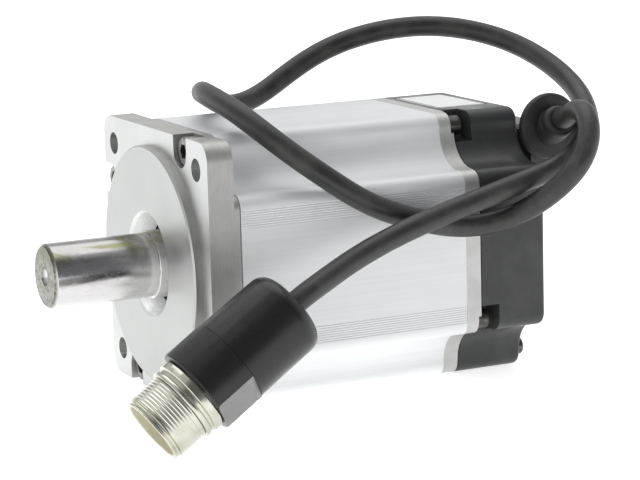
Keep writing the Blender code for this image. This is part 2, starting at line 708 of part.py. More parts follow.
def make_gland():
    disc_end = BOOT_START - GAP
    disc = [(0.0, GLAND_BASE), (GLAND_RADIUS - 0.4, GLAND_BASE), (GLAND_RADIUS, GLAND_BASE + 0.4),
            (GLAND_RADIUS, disc_end - 0.5), (GLAND_RADIUS - 0.5, disc_end), (0.0, disc_end)]
    gland = mesh_object("cable_gland", lambda s: add_turned(s, disc),
                        ((0.05, 0.05, 0.05), 0.5), world(0.0, GLAND_ALONG, GLAND_UP))
    gland.rotation_euler = SIDEWAYS
    boot = [(0.0, -3.0), (5.4, -3.0), (5.4, 2.4), (4.8, 2.9), (4.8, 3.5), (5.1, 3.9), (5.1, 5.3),
            (4.3, BOOT_LENGTH), (0.0, BOOT_LENGTH)]
    relief = mesh_object("strain_relief_boot", lambda s: add_turned(s, boot, SIDES_INSIDE),
                         ((0.04, 0.04, 0.04), 0.6), world(disc_end, GLAND_ALONG, GLAND_UP))
    relief.rotation_euler = (BOOT_TILT, 0.0, -math.pi / 2)

    def foot(shape):
        """All that lies behind the gland's face, so that the tilted boot stands flat on it."""
        add_box(shape, (BOOT_START - 12.0, GLAND_ALONG - 12.0, GLAND_UP - 12.0),
                (BOOT_START, GLAND_ALONG + 12.0, GLAND_UP + 12.0))

    combine(relief, "DIFFERENCE", helper("boot_foot", foot))


# Cable ----------------------------------------------------------------------------------

def smooth_curve(points, step, start_way, end_way):
    """Points about a step apart on a cubic spline through the given ones."""
    points = np.array(points, float)
    spans = np.linalg.norm(np.diff(points, axis=0), axis=1)
    count = len(points)
    system = np.zeros((count, count))
    right = np.zeros((count, 3))
    system[0, 0] = system[-1, -1] = 1.0
    right[0], right[-1] = start_way, end_way
    for i in range(1, count - 1):
        before, after = spans[i - 1], spans[i]
        system[i, i - 1:i + 2] = after, 2 * (before + after), before
        right[i] = 3 * (after / before * (points[i] - points[i - 1])
                        + before / after * (points[i + 1] - points[i]))
    ways = np.linalg.solve(system, right)
    fine = []
    for i in range(count - 1):
        for t in np.arange(0, 1, 0.05):
            fine.append((2 * t**3 - 3 * t**2 + 1) * points[i]
                        + (t**3 - 2 * t**2 + t) * spans[i] * ways[i]
                        + (3 * t**2 - 2 * t**3) * points[i + 1]
                        + (t**3 - t**2) * spans[i] * ways[i + 1])
    fine = np.array(fine + [points[-1]])
    lengths = np.concatenate([[0.0], np.cumsum(np.linalg.norm(np.diff(fine, axis=0), axis=1))])
    end = lengths[-1]
    wanted = np.linspace(0.0, end, round(end / step) + 1)
    wanted = np.sort(np.append(wanted, [SQUARE_END, end - SQUARE_END]))
    return [[float(np.interp(at, lengths, fine[:, k])) for k in range(3)] for at in wanted]


def make_cable():
    way_in = (0.0, -math.cos(CONNECTOR_TILT), -math.sin(CONNECTOR_TILT))
    way_out = (math.cos(BOOT_TILT), 0.0, math.sin(BOOT_TILT))
    points = smooth_curve(CABLE_ROUTE, CABLE_STEP, way_out, way_in)
    curve = bpy.data.curves.new("cable", "CURVE")
    curve.dimensions = "3D"
    curve.bevel_depth = CABLE_RADIUS * MM
    curve.bevel_resolution = 2
    curve.use_fill_caps = True
    curve.materials.append(material("cable", (0.05, 0.05, 0.05), 0.4))
    spline = curve.splines.new("POLY")
    spline.points.add(len(points) - 1)
    for spot, point in zip(spline.points, points):
        spot.co = (*world(*point), 1.0)
    bpy.context.scene.collection.objects.link(bpy.data.objects.new("cable", curve))


# Connector: made along +Y from its mouth, then tilted by its parent ---------------------

def make_connector():
    holder = bpy.data.objects.new("connector_place", None)
    holder.location = world(*CONNECTOR_MOUTH)
    holder.rotation_euler = (CONNECTOR_TILT, 0.0, 0.0)
    bpy.context.scene.collection.objects.link(holder)

    def piece(name, build, colour):
        obj = mesh_object(name, build, colour, Vector())
        obj.parent = holder
        return obj

    black = ((0.035, 0.035, 0.035), 0.45)
    nickel = ((0.62, 0.6, 0.52), 0.25, 1.0)
    collar, thread = 11.3, 10.1
    shell_rear = SHELL_LENGTH + 4.0
    shell = [
        (SHELL_BORE, 0.0), (RIM_RADIUS - 0.3, 0.0), (RIM_RADIUS, 0.3), (RIM_RADIUS, 2.4),
        (thread, 2.4), (thread, 10.6), (collar, 11.2), (collar, SHELL_LENGTH - GAP),
        (thread, SHELL_LENGTH - GAP), (thread, shell_rear), (SHELL_BORE, shell_rear),
    ]
    piece("connector_shell", lambda s: add_turned(s, shell, 32), nickel)

    insert_rear = shell_rear - 1.0
    insert = piece("connector_insert", lambda s: add_rod(
        s, SHELL_BORE - GAP, INSERT_DEPTH, insert_rear), black)
    angles = [2 * math.pi * i / PINS for i in range(PINS)]
    spots = [(0.0, 0.0)] + [(PIN_CIRCLE * math.cos(a), PIN_CIRCLE * math.sin(a)) for a in angles]

    def pin_holes(shape):
        for spot in spots:
            add_rod(shape, 1.3, INSERT_DEPTH - 1.0, insert_rear + 1.0, spot, 8)

    holes = helper("insert_holes", pin_holes, Vector())
    holes.parent = holder
    combine(insert, "DIFFERENCE", holes)
    for index, spot in enumerate(spots, 1):
        rod = [(0.0, 5.0), (0.6, 5.0), (1.0, 5.6), (1.0, insert_rear - GAP), (0.0, insert_rear - GAP)]
        piece(f"contact_pin_{index}", lambda s: add_turned(s, rod, 8, spot), ((0.7, 0.55, 0.25), 0.25, 1.0))

    grip_rear = SHELL_LENGTH + GRIP_LENGTH
    bore = thread + GAP
    grip_profile = [(bore, SHELL_LENGTH), (GRIP_RADIUS - 0.5, SHELL_LENGTH),
                    (GRIP_RADIUS, SHELL_LENGTH + 0.5), (GRIP_RADIUS, grip_rear), (bore, grip_rear)]
    grip = piece("connector_grip", lambda s: add_turned(s, grip_profile), black)

    def flats(shape):
        for near, far in ((-20.0, -GRIP_FLAT), (GRIP_FLAT, 20.0)):
            add_box(shape, (near, SHELL_LENGTH - 1.0, -20.0), (far, grip_rear + 1.0, 20.0))

    flat_cutter = helper("grip_flats", flats, Vector(), (0.0, FLAT_TURN, 0.0))
    flat_cutter.parent = holder
    combine(grip, "DIFFERENCE", flat_cutter)

    nut_front, nut_radius, round_edge = grip_rear + GAP, 12.4, 4.2
    cable_end = CONNECTOR_LENGTH - GAP
    nut = [(0.0, nut_front), (nut_radius + 0.2, nut_front)]
    for i in range(6):
        angle = math.radians(90 * i / 5)
        nut.append((nut_radius - round_edge * (1 - math.cos(angle)),
                    cable_end - round_edge * (1 - math.sin(angle))))
    nut.append((0.0, cable_end))
    piece("connector_back_nut", lambda s: add_turned(s, nut, 32), black)


def main():
    for obj in list(bpy.data.objects):
        bpy.data.objects.remove(obj)
    make_front_flange()
    make_flange_screws()
    make_oil_seal()
    make_bearing("front", FRONT_BEARING)
    make_bearing("rear", REAR_BEARING)
    make_wave_spring()
    make_rotor()
    make_stator_frame()
    make_stator_core()
    make_stator_winding()
    make_rear_bracket()
    make_rear_screws()
    make_rear_cover()
    make_name_label()
    make_cover_screws()
    make_cover_gasket()
    make_encoder()
    make_cable_outlet()
    make_gland()
    make_cable()
    make_connector()


main()
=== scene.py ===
import math

import bmesh
import bpy
import numpy as np
from mathutils import Matrix, Vector


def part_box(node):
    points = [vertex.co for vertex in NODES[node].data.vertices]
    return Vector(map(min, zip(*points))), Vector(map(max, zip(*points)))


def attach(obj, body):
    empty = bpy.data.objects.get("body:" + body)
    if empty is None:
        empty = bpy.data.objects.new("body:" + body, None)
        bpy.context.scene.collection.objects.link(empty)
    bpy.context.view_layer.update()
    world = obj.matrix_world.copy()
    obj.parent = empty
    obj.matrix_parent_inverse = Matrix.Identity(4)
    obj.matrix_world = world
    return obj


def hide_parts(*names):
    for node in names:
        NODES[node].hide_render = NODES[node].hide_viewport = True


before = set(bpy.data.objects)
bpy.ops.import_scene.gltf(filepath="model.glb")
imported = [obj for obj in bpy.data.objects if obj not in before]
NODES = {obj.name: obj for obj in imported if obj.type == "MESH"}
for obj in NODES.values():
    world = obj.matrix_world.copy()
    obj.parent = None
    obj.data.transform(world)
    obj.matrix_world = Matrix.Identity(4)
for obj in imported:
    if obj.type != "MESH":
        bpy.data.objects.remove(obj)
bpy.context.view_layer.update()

MM = 0.001
SCENE = bpy.context.scene

# The motor's own axes: across (+X), along the shaft from the flange's face, and up from the shaft
BOSS = 3.0  # the pilot boss stands this far in front of the flange's face
flange_low, flange_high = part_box("front_flange")
FACE = Vector((
    (flange_low.x + flange_high.x) / 2, flange_low.y + BOSS * MM, (flange_low.z + flange_high.z) / 2,
))
MOTOR = Matrix.Translation(FACE) @ Matrix.Scale(MM, 4)


def ends(name):
    """A node's front and rear, in millimetres from the flange's face."""
    return [(corner.y - FACE.y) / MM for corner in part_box(name)]


def place(across, along, up=0.0):
    return MOTOR @ Vector((across, along, up))


FRAME_FRONT, FRAME_REAR = ends("stator_frame")
COVER_FRONT, COVER_REAR = ends("rear_cover")
SHAFT_TIP = ends("rotor_shaft")[0]
GAP = 0.3  # between pieces that touch

# Front flange
PLATE_REAR = 7.8
FLANGE_REAR = FRAME_FRONT - GAP
FLANGE_HALF = (flange_high.x - flange_low.x) / 2 / MM
FLANGE_CORNER = 5.5
BOSS_RADIUS = 35.0
BOSS_BORE = 15.8
BOSS_CHAMFER = 0.9
MOUTH_BORE = 12.6  # where the bore's cone ends, just in front of the oil seal
SEAL_BORE = 15.0
SEAL_SEAT = 3.5
HOLE_RADIUS, HOLE_CIRCLE_RADIUS = 3.3, 45.0
HOLE_SPOT = HOLE_CIRCLE_RADIUS / math.sqrt(2)
BEARING_FRONT, BEARING_REAR, BEARING_RADIUS = 8.3, 20.3, 21.0
SLOT_RADIUS, SLOT_DEPTH = 4.7, 6.4

# Frame and cover section
FRAME_HALF = (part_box("stator_frame")[1].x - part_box("stator_frame")[0].x) / 2 / MM
ARM_HALF = 24.5
TIP_ROUND = 4.0
ROOT_ROUND = 11.0
FRAME_BORE = 36.0
GROOVES = 8
GROOVE_FIRST, GROOVE_PITCH = 15.4, 0.68
GROOVE_HALF_WIDTH, GROOVE_DEPTH = 0.26, 0.12
SCREW_SIDE, SCREW_OUT = 20.5, 35.6
SHANK_HOLE = 2.4
COVER_SCREW_OUT, COVER_SCREW_HOLE = 34.5, 1.8
POCKET_HALF, POCKET_LENGTH = 4.5, 5.8
COVER_CAVITY, COVER_WALL, COVER_EDGE = 31.5, 3.0, 1.3
FRAME_METAL = 0.3  # the rest scatters light, as the white oxide layer does
LABEL_LOW, LABEL_HIGH = (MOTOR.inverted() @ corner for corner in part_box("name_label"))

# Cable and connector
CABLE_RADIUS = 3.25
CABLE_STEP = 1.5  # between the tube's points
BOOT_TILT = math.radians(25)
GLAND = place(27.0, 118.5, 33.4)  # the middle of the nut's outer face
CONNECTOR_TILT = math.radians(34.5)
CONNECTOR_MOUTH = place(65.0, -29.4, -31.6)
SHELL_LENGTH, GRIP_LENGTH, CONNECTOR_LENGTH = 16.0, 12.6, 52.0
GRIP_FLAT, FLAT_TURN = 11.5, math.radians(35)
CONNECTOR = (Matrix.Translation(CONNECTOR_MOUTH) @ Matrix.Rotation(CONNECTOR_TILT, 4, "X")
             @ Matrix.Scale(MM, 4))


# --- Camera ---

CAMERA_TARGET = (0.03057, -0.00658, 0.04766)
CAMERA_DISTANCE = 0.69
CAMERA_AZIMUTH = math.radians(64.507)
CAMERA_ELEVATION = math.radians(10.711)
CAMERA_ROLL = math.radians(-1.643)
CAMERA_LENS = 134.576


def make_camera():
    back = Vector((
        math.sin(CAMERA_AZIMUTH) * math.cos(CAMERA_ELEVATION),
        -math.cos(CAMERA_AZIMUTH) * math.cos(CAMERA_ELEVATION),
        math.sin(CAMERA_ELEVATION),
    ))
    data = bpy.data.cameras.new("camera")
    data.lens = CAMERA_LENS
    data.sensor_width = 36.0
    data.clip_start = 0.01
    camera = bpy.data.objects.new("camera", data)
    SCENE.collection.objects.link(camera)
    camera.location = Vector(CAMERA_TARGET) + back * CAMERA_DISTANCE
    upright = (-back).to_track_quat("-Z", "Y").to_matrix()
    camera.rotation_euler = (upright @ Matrix.Rotation(CAMERA_ROLL, 3, "Z")).to_euler()
    SCENE.camera = camera


# --- Materials ---

def node(tree, kind, inputs=(), **settings):
    """A shader node. inputs maps a socket's name or number to a value or to a socket."""
    made = tree.nodes.new("ShaderNode" + kind)
    for key, value in settings.items():
        setattr(made, key, value)
    for key, value in dict(inputs).items():
        if isinstance(value, bpy.types.NodeSocket):
            tree.links.new(value, made.inputs[key])
        else:
            made.inputs[key].default_value = value
    return made


def spot(tree, stretch=(1.0, 1.0, 1.0)):
    """The point on the surface, in millimetres, squeezed by stretch."""
    where = node(tree, "TexCoord").outputs["Object"]
    return node(tree, "Mapping", {"Vector": where, "Scale": [s / MM for s in stretch]}).outputs[0]


def noise(tree, size, stretch=(1.0, 1.0, 1.0), detail=3.0, rough=0.55, turn=0.0):
    """Noise whose patches are about size millimetres across."""
    return node(tree, "TexNoise", {
        "Vector": spot(tree, stretch), "Scale": 1.0 / size, "Detail": detail, "Roughness": rough,
        "Distortion": turn}).outputs["Fac"]


def math_of(tree, operation, *values):
    return node(tree, "Math", dict(enumerate(values)), operation=operation).outputs[0]


def level(tree, value, low, high, start=0.35, stop=0.65):
    """value, from start to stop, as a number from low to high."""
    return node(tree, "MapRange", {
        "Value": value, "From Min": start, "From Max": stop, "To Min": low, "To Max": high,
    }, interpolation_type="SMOOTHSTEP").outputs["Result"]


def mix(tree, share, first, second):
    def colour(value):
        return value if isinstance(value, bpy.types.NodeSocket) else (*value, 1.0)
    return node(tree, "Mix", {0: share, 6: colour(first), 7: colour(second)},
                data_type="RGBA").outputs[2]


def blend(tree, value, first, second, most=1.0, start=0.35, stop=0.65):
    """first, turning by up to most into second as value goes from start to stop."""
    return mix(tree, level(tree, value, 0.0, most, start, stop), first, second)


def bump(tree, height, strength, distance, below=None):
    inputs = {"Height": height, "Strength": strength, "Distance": distance * MM}
    if below:
        inputs["Normal"] = below
    return node(tree, "Bump", inputs).outputs[0]


def new_material(name, colour, roughness, metallic=0.0, **constants):
    made = bpy.data.materials.new(name)
    made.use_nodes = True
    shader = made.node_tree.nodes["Principled BSDF"]
    shader.inputs["Base Color"].default_value = (*colour, 1.0)
    shader.inputs["Roughness"].default_value = roughness
    shader.inputs["Metallic"].default_value = metallic
    for key, value in constants.items():
        shader.inputs[key.replace("_", " ")].default_value = value
    return made, made.node_tree


def wire(made, **sockets):
    """Links each socket to the material's shader, and gives the material back."""
    tree = made.node_tree
    for key, value in sockets.items():
        tree.links.new(value, tree.nodes["Principled BSDF"].inputs[key.replace("_", " ")])
    return made


def from_face(tree):
    """The surface point in millimetres from where the shaft's axis meets the flange's face."""
    where = node(tree, "TexCoord").outputs["Object"]
    return node(tree, "Mapping", {"Vector": where, "Location": [-v / MM for v in FACE],
                                  "Scale": (1 / MM,) * 3}).outputs[0]


def part_of(tree, axis):
    """One measure of from_face: 0 is across, 1 along the shaft and 2 up."""
    return node(tree, "SeparateXYZ", {"Vector": from_face(tree)}).outputs[axis]


def radius_from_shaft(tree):
    """The surface point's distance from the shaft's axis, in millimetres."""
    flat = node(tree, "VectorMath", {0: from_face(tree), 1: (1.0, 0.0, 1.0)},
                operation="MULTIPLY").outputs[0]
    return node(tree, "VectorMath", {0: flat}, operation="LENGTH").outputs["Value"]


def lines(tree, value, width, detail=2.0):
    """One-dimensional noise of the given line width along value, both in millimetres."""
    return node(tree, "TexNoise", {"W": value, "Scale": 1.0 / width, "Detail": detail},
                noise_dimensions="1D").outputs["Fac"]


def extruded_aluminium():
    """Clear-anodised and satin: faint drawing streaks along the shaft, and clouds from handling."""
    made, tree = new_material("extruded_aluminium", (0.80, 0.81, 0.82), 0.5, FRAME_METAL)
    streaks = noise(tree, 0.5, (1.0, 0.012, 1.0), 4.0)
    clouds = noise(tree, 22.0, (1.0, 0.4, 1.0))
    base = blend(tree, clouds, (0.84, 0.855, 0.855), (0.90, 0.91, 0.91))
    base = blend(tree, streaks, base, (0.68, 0.69, 0.70), 0.16)
    marks = noise(tree, 3.5, detail=5.0, rough=0.7)
    base = blend(tree, marks, base, (0.60, 0.61, 0.61), 0.3, 0.68, 0.76)
    grain = noise(tree, 0.16, detail=2.0)
    return wire(made, Base_Color=base, Roughness=level(tree, clouds, 0.48, 0.60),
                Normal=bump(tree, grain, 0.12, 0.02, bump(tree, streaks, 0.08, 0.02)))


def machined_aluminium():
    """Turned about the shaft: fine rings, a satin and slightly cloudy face, and a darker pilot boss."""
    made, tree = new_material("machined_aluminium", (0.56, 0.57, 0.56), 0.42, 1.0)
    rings = lines(tree, radius_from_shaft(tree), 0.35, 3.0)
    clouds = noise(tree, 16.0, detail=4.0)
    base = blend(tree, clouds, (0.58, 0.59, 0.58), (0.68, 0.69, 0.68))
    boss = math_of(tree, "LESS_THAN", part_of(tree, 1), -0.5)
    base = mix(tree, math_of(tree, "MULTIPLY", boss, 0.55), base, (0.40, 0.41, 0.40))
    base = blend(tree, rings, base, (0.44, 0.45, 0.44), 0.22)
    stain = noise(tree, 5.0, detail=6.0, rough=0.65)
    base = blend(tree, stain, base, (0.36, 0.37, 0.35), 0.35, 0.64, 0.74)
    return wire(made, Base_Color=base, Roughness=level(tree, clouds, 0.38, 0.48),
                Normal=bump(tree, rings, 0.15, 0.02, bump(tree, noise(tree, 0.25), 0.12, 0.02)))


def bored_aluminium_painted_light():
    """Painted light: pale and half matt so the inside of the bore looks lit, with fine rings from the
    boring bar and no stain.
    """
    made, tree = new_material("bored_aluminium_painted_light", (0.94, 0.95, 0.94), 0.3, 0.5)
    cuts = lines(tree, part_of(tree, 1), 0.22, 3.0)
    base = blend(tree, cuts, (0.95, 0.96, 0.95), (0.86, 0.87, 0.86), 0.3)
    return wire(made, Base_Color=base, Roughness=level(tree, cuts, 0.26, 0.36),
                Normal=bump(tree, cuts, 0.1, 0.02))


def sawn_aluminium_and_painted_dark():
    """Duller, with coarse marks along the cut. On the pilot boss's side its darker tone is painted
    shade, standing in for a dark reflection.
    """
    made, tree = new_material("sawn_aluminium_and_painted_dark", (0.40, 0.40, 0.385), 0.5, 1.0)
    cuts = noise(tree, 0.5, (0.1, 1.0, 0.1))
    clouds = noise(tree, 9.0, detail=4.0)
    base = blend(tree, clouds, (0.42, 0.42, 0.405), (0.53, 0.53, 0.51))
    return wire(made, Base_Color=blend(tree, cuts, base, (0.36, 0.36, 0.35), 0.3),
                Roughness=level(tree, clouds, 0.45, 0.56), Normal=bump(tree, cuts, 0.2, 0.03))


def cast_aluminium():
    made, tree = new_material("cast_aluminium", (0.58, 0.58, 0.56), 0.5, 0.85)
    grains = noise(tree, 0.22)
    clouds = noise(tree, 9.0)
    base = blend(tree, clouds, (0.56, 0.565, 0.55), (0.64, 0.64, 0.62))
    base = blend(tree, grains, base, (0.46, 0.46, 0.44), 0.25)
    return wire(made, Base_Color=base, Roughness=level(tree, grains, 0.42, 0.58),
                Normal=bump(tree, grains, 0.35, 0.05))


def moulded_plastic(name, colour, roughness, grain, depth):
    """Spark-eroded texture: fine grain, with a few rubbed patches that are paler and smoother."""
    made, tree = new_material(name, colour, roughness, Specular_IOR_Level=0.45)
    grains = noise(tree, grain, detail=2.0)
    rubbed = noise(tree, 12.0, detail=5.0, rough=0.6)
    lighter = tuple(min(1.0, c * 1.3 + 0.004) for c in colour)
    base = blend(tree, rubbed, colour, lighter, 1.0, 0.45, 0.7)
    base = blend(tree, grains, base, tuple(c * 0.6 for c in colour), 0.3)
    return wire(made, Base_Color=base, Normal=bump(tree, grains, 0.4, depth),
                Roughness=level(tree, rubbed, roughness + 0.06, roughness - 0.06))


def blackened_steel(name, colour, worn):
    made, tree = new_material(name, colour, 0.38, 1.0)
    wear = noise(tree, 1.4, detail=5.0, rough=0.7)
    base = blend(tree, wear, colour, worn, 1.0, 0.5, 0.72)
    return wire(made, Base_Color=base, Roughness=level(tree, wear, 0.46, 0.28),
                Normal=bump(tree, noise(tree, 0.12), 0.2, 0.02))


def shaft_steel():
    """Ground steel under a thin film of oil, with olive patches and dull at the end; darker above as
    painted shade, which dims the lamp's highlight along the top.
    """
    made, tree = new_material("shaft_steel", (0.62, 0.61, 0.60), 0.2, 1.0)
    grinding = lines(tree, part_of(tree, 1), 0.12, 3.0)
    film = noise(tree, 6.5, (1.0, 0.45, 1.0), 5.0, 0.62, 0.8)
    smears = noise(tree, 1.8, (1.0, 0.35, 1.0), 5.0, 0.7, 1.4)
    upper_painted_shade = level(tree, part_of(tree, 2), 0.0, 1.0, 2.0, 8.0)
    greased = math_of(tree, "MULTIPLY", level(tree, film, 0.0, 1.0, 0.42, 0.58), upper_painted_shade)
    base = blend(tree, grinding, (0.72, 0.71, 0.71), (0.58, 0.57, 0.57), 0.2)
    base = blend(tree, smears, base, (0.46, 0.45, 0.42), 0.12, 0.5, 0.7)
    # painted shade: the upper side is darkened, which dims the lamp's highlight along the top
    base = mix(tree, math_of(tree, "MULTIPLY", upper_painted_shade, 0.75), base, (0.31, 0.305, 0.30))
    base = mix(tree, greased, base, (0.26, 0.26, 0.16))
    front = level(tree, part_of(tree, 1), 1.0, 0.0, SHAFT_TIP + 0.1, SHAFT_TIP + 1.2)
    dulled = math_of(tree, "MULTIPLY", front, level(tree, smears, 0.7, 1.0, 0.38, 0.62))
    base = mix(tree, dulled, base, (0.10, 0.103, 0.066))
    return wire(made, Base_Color=base, Roughness=level(tree, smears, 0.18, 0.28, 0.4, 0.66),
                Normal=bump(tree, film, 0.1, 0.03, bump(tree, grinding, 0.1, 0.01)))


def nickel_plate():
    made, tree = new_material("nickel_plate", (0.70, 0.70, 0.60), 0.18, 1.0)
    bloom = noise(tree, 4.0, detail=4.0)
    pits = noise(tree, 0.5, rough=0.7)
    base = blend(tree, bloom, (0.56, 0.56, 0.47), (0.66, 0.66, 0.58))
    base = blend(tree, pits, base, (0.46, 0.45, 0.33), 0.3, 0.66, 0.78)
    return wire(made, Base_Color=base, Roughness=level(tree, bloom, 0.14, 0.26),
                Normal=bump(tree, pits, 0.06, 0.02))


def cable_jacket():
    """Smooth PVC: faint ripples from the strands under it, and a dusty satin bloom."""
    made, tree = new_material("cable_jacket", (0.018, 0.018, 0.018), 0.36, Specular_IOR_Level=0.5)
    dust = noise(tree, 7.0, detail=6.0, rough=0.65)
    ripple = noise(tree, 2.6, detail=2.0, turn=0.6)
    fine = noise(tree, 0.25, detail=2.0)
    base = blend(tree, dust, (0.028, 0.028, 0.028), (0.054, 0.053, 0.049), 1.0, 0.4, 0.7)
    return wire(made, Base_Color=base, Roughness=level(tree, dust, 0.36, 0.50),
                Normal=bump(tree, fine, 0.15, 0.02, bump(tree, ripple, 0.25, 0.12)))


def rubber():
    made, tree = new_material("seal_rubber", (0.022, 0.022, 0.022), 0.62)
    bloom = noise(tree, 3.0, detail=4.0)
    base = blend(tree, bloom, (0.018, 0.018, 0.018), (0.04, 0.04, 0.038))
    return wire(made, Base_Color=base, Roughness=level(tree, bloom, 0.55, 0.72),
                Normal=bump(tree, noise(tree, 0.3), 0.3, 0.04))


def label_film():
    """White film with a thin grey frame line and no print."""
    made, tree = new_material("label_film", (0.88, 0.88, 0.87), 0.34)
    middle = (LABEL_LOW + LABEL_HIGH) / 2
    inward = []
    for axis in (0, 1):
        off_centre = math_of(tree, "SUBTRACT", part_of(tree, axis), middle[axis])
        inward.append(math_of(tree, "SUBTRACT", LABEL_HIGH[axis] - middle[axis],
                              math_of(tree, "ABSOLUTE", off_centre)))
    edge = math_of(tree, "MINIMUM", *inward)
    frame_line = math_of(tree, "MULTIPLY", level(tree, edge, 0.0, 1.0, 0.1, 0.2),
                         level(tree, edge, 1.0, 0.0, 0.8, 0.95))
    paper = blend(tree, noise(tree, 5.0), (0.96, 0.96, 0.95), (0.98, 0.98, 0.97))
    return wire(made, Base_Color=mix(tree, frame_line, paper, (0.28, 0.28, 0.28)),
                Roughness=level(tree, noise(tree, 2.0), 0.3, 0.42),
                Normal=bump(tree, noise(tree, 1.2), 0.08, 0.02))


def insert_plastic():
    made, tree = new_material("insert_plastic", (0.10, 0.095, 0.055), 0.5)
    grains = noise(tree, 0.3)
    base = blend(tree, grains, (0.09, 0.085, 0.05), (0.14, 0.13, 0.08))
    return wire(made, Base_Color=base, Roughness=level(tree, grains, 0.42, 0.6),
                Normal=bump(tree, grains, 0.2, 0.03))


def turned_metal(name, colour, roughness, line, dark=0.75, metallic=1.0):
    """Turned or ground metal: fine rings round the shaft's axis, broken by lines across it."""
    made, tree = new_material(name, colour, roughness, metallic)
    rings = lines(tree, radius_from_shaft(tree), line)
    cross = lines(tree, part_of(tree, 1), line)
    both = math_of(tree, "MULTIPLY", rings, cross)
    darker = tuple(c * dark for c in colour)
    return wire(made, Base_Color=blend(tree, both, darker, colour, 1.0, 0.15, 0.38),
                Roughness=level(tree, noise(tree, 3.0), roughness - 0.05, roughness + 0.08),
                Normal=bump(tree, both, 0.2, 0.02))


def laminated_steel():
    """A stack of thin sheets along the shaft, with a little rust."""
    made, tree = new_material("laminated_steel", (0.33, 0.33, 0.34), 0.5, 0.9)
    sheet = 0.5
    sheets = node(tree, "TexWave", {"Vector": spot(tree), "Scale": 1.0 / (sheet * math.pi)},
                  wave_type="BANDS", bands_direction="Y").outputs["Fac"]
    rust = noise(tree, 4.0, detail=5.0)
    base = mix(tree, sheets, (0.22, 0.22, 0.23), (0.42, 0.42, 0.43))
    base = blend(tree, rust, base, (0.30, 0.22, 0.15), 0.4, 0.55, 0.7)
    return wire(made, Base_Color=base, Roughness=level(tree, rust, 0.45, 0.6),
                Normal=bump(tree, sheets, 0.5, 0.08))


def magnet():
    made, tree = new_material("magnet", (0.20, 0.20, 0.21), 0.42, 0.6)
    specks = noise(tree, 0.5, detail=4.0)
    base = blend(tree, specks, (0.15, 0.15, 0.16), (0.26, 0.26, 0.27))
    return wire(made, Base_Color=base, Roughness=level(tree, specks, 0.35, 0.5),
                Normal=bump(tree, specks, 0.2, 0.03))


def copper_winding():
    """Enamelled wire in tight turns round the stator."""
    made, tree = new_material("copper_winding", (0.52, 0.22, 0.08), 0.3, 0.85)
    turns = node(tree, "TexWave", {"Vector": spot(tree), "Scale": 0.7, "Distortion": 3.0,
                                   "Detail": 2.0, "Detail Scale": 0.4},
                 wave_type="RINGS", rings_direction="Y").outputs["Fac"]
    return wire(made, Base_Color=mix(tree, turns, (0.25, 0.08, 0.03), (0.62, 0.28, 0.11)),
                Roughness=level(tree, turns, 0.45, 0.25, 0.0, 1.0),
                Normal=bump(tree, turns, 0.6, 0.25))


def circuit_board():
    """Green solder resist with paler tracks under it."""
    made, tree = new_material("circuit_board", (0.02, 0.16, 0.08), 0.3)
    tracks = node(tree, "TexVoronoi", {"Vector": spot(tree), "Scale": 0.35},
                  feature="DISTANCE_TO_EDGE", distance="CHEBYCHEV").outputs["Distance"]
    base = mix(tree, level(tree, tracks, 1.0, 0.0, 0.02, 0.09), (0.015, 0.12, 0.06), (0.05, 0.28, 0.13))
    return wire(made, Base_Color=base, Roughness=level(tree, noise(tree, 2.0), 0.25, 0.4),
                Normal=bump(tree, tracks, 0.2, 0.03))


def code_disc():
    """Dark disc with a ring of fine radial lines."""
    made, tree = new_material("code_disc", (0.25, 0.27, 0.29), 0.08, 0.3)
    line_count, inner, outer = 180.0, 12.5, 15.3
    angle = math_of(tree, "ARCTAN2", part_of(tree, 2), part_of(tree, 0))
    ticks = math_of(tree, "SINE", math_of(tree, "MULTIPLY", angle, line_count))
    radius = radius_from_shaft(tree)
    band = math_of(tree, "MULTIPLY", level(tree, radius, 0.0, 1.0, inner - 0.1, inner + 0.1),
                   level(tree, radius, 1.0, 0.0, outer - 0.1, outer + 0.1))
    share = math_of(tree, "MULTIPLY", band, level(tree, ticks, 0.0, 1.0, -0.2, 0.2))
    return wire(made, Base_Color=mix(tree, share, (0.28, 0.31, 0.33), (0.03, 0.03, 0.035)),
                Roughness=level(tree, share, 0.08, 0.3, 0.0, 1.0))


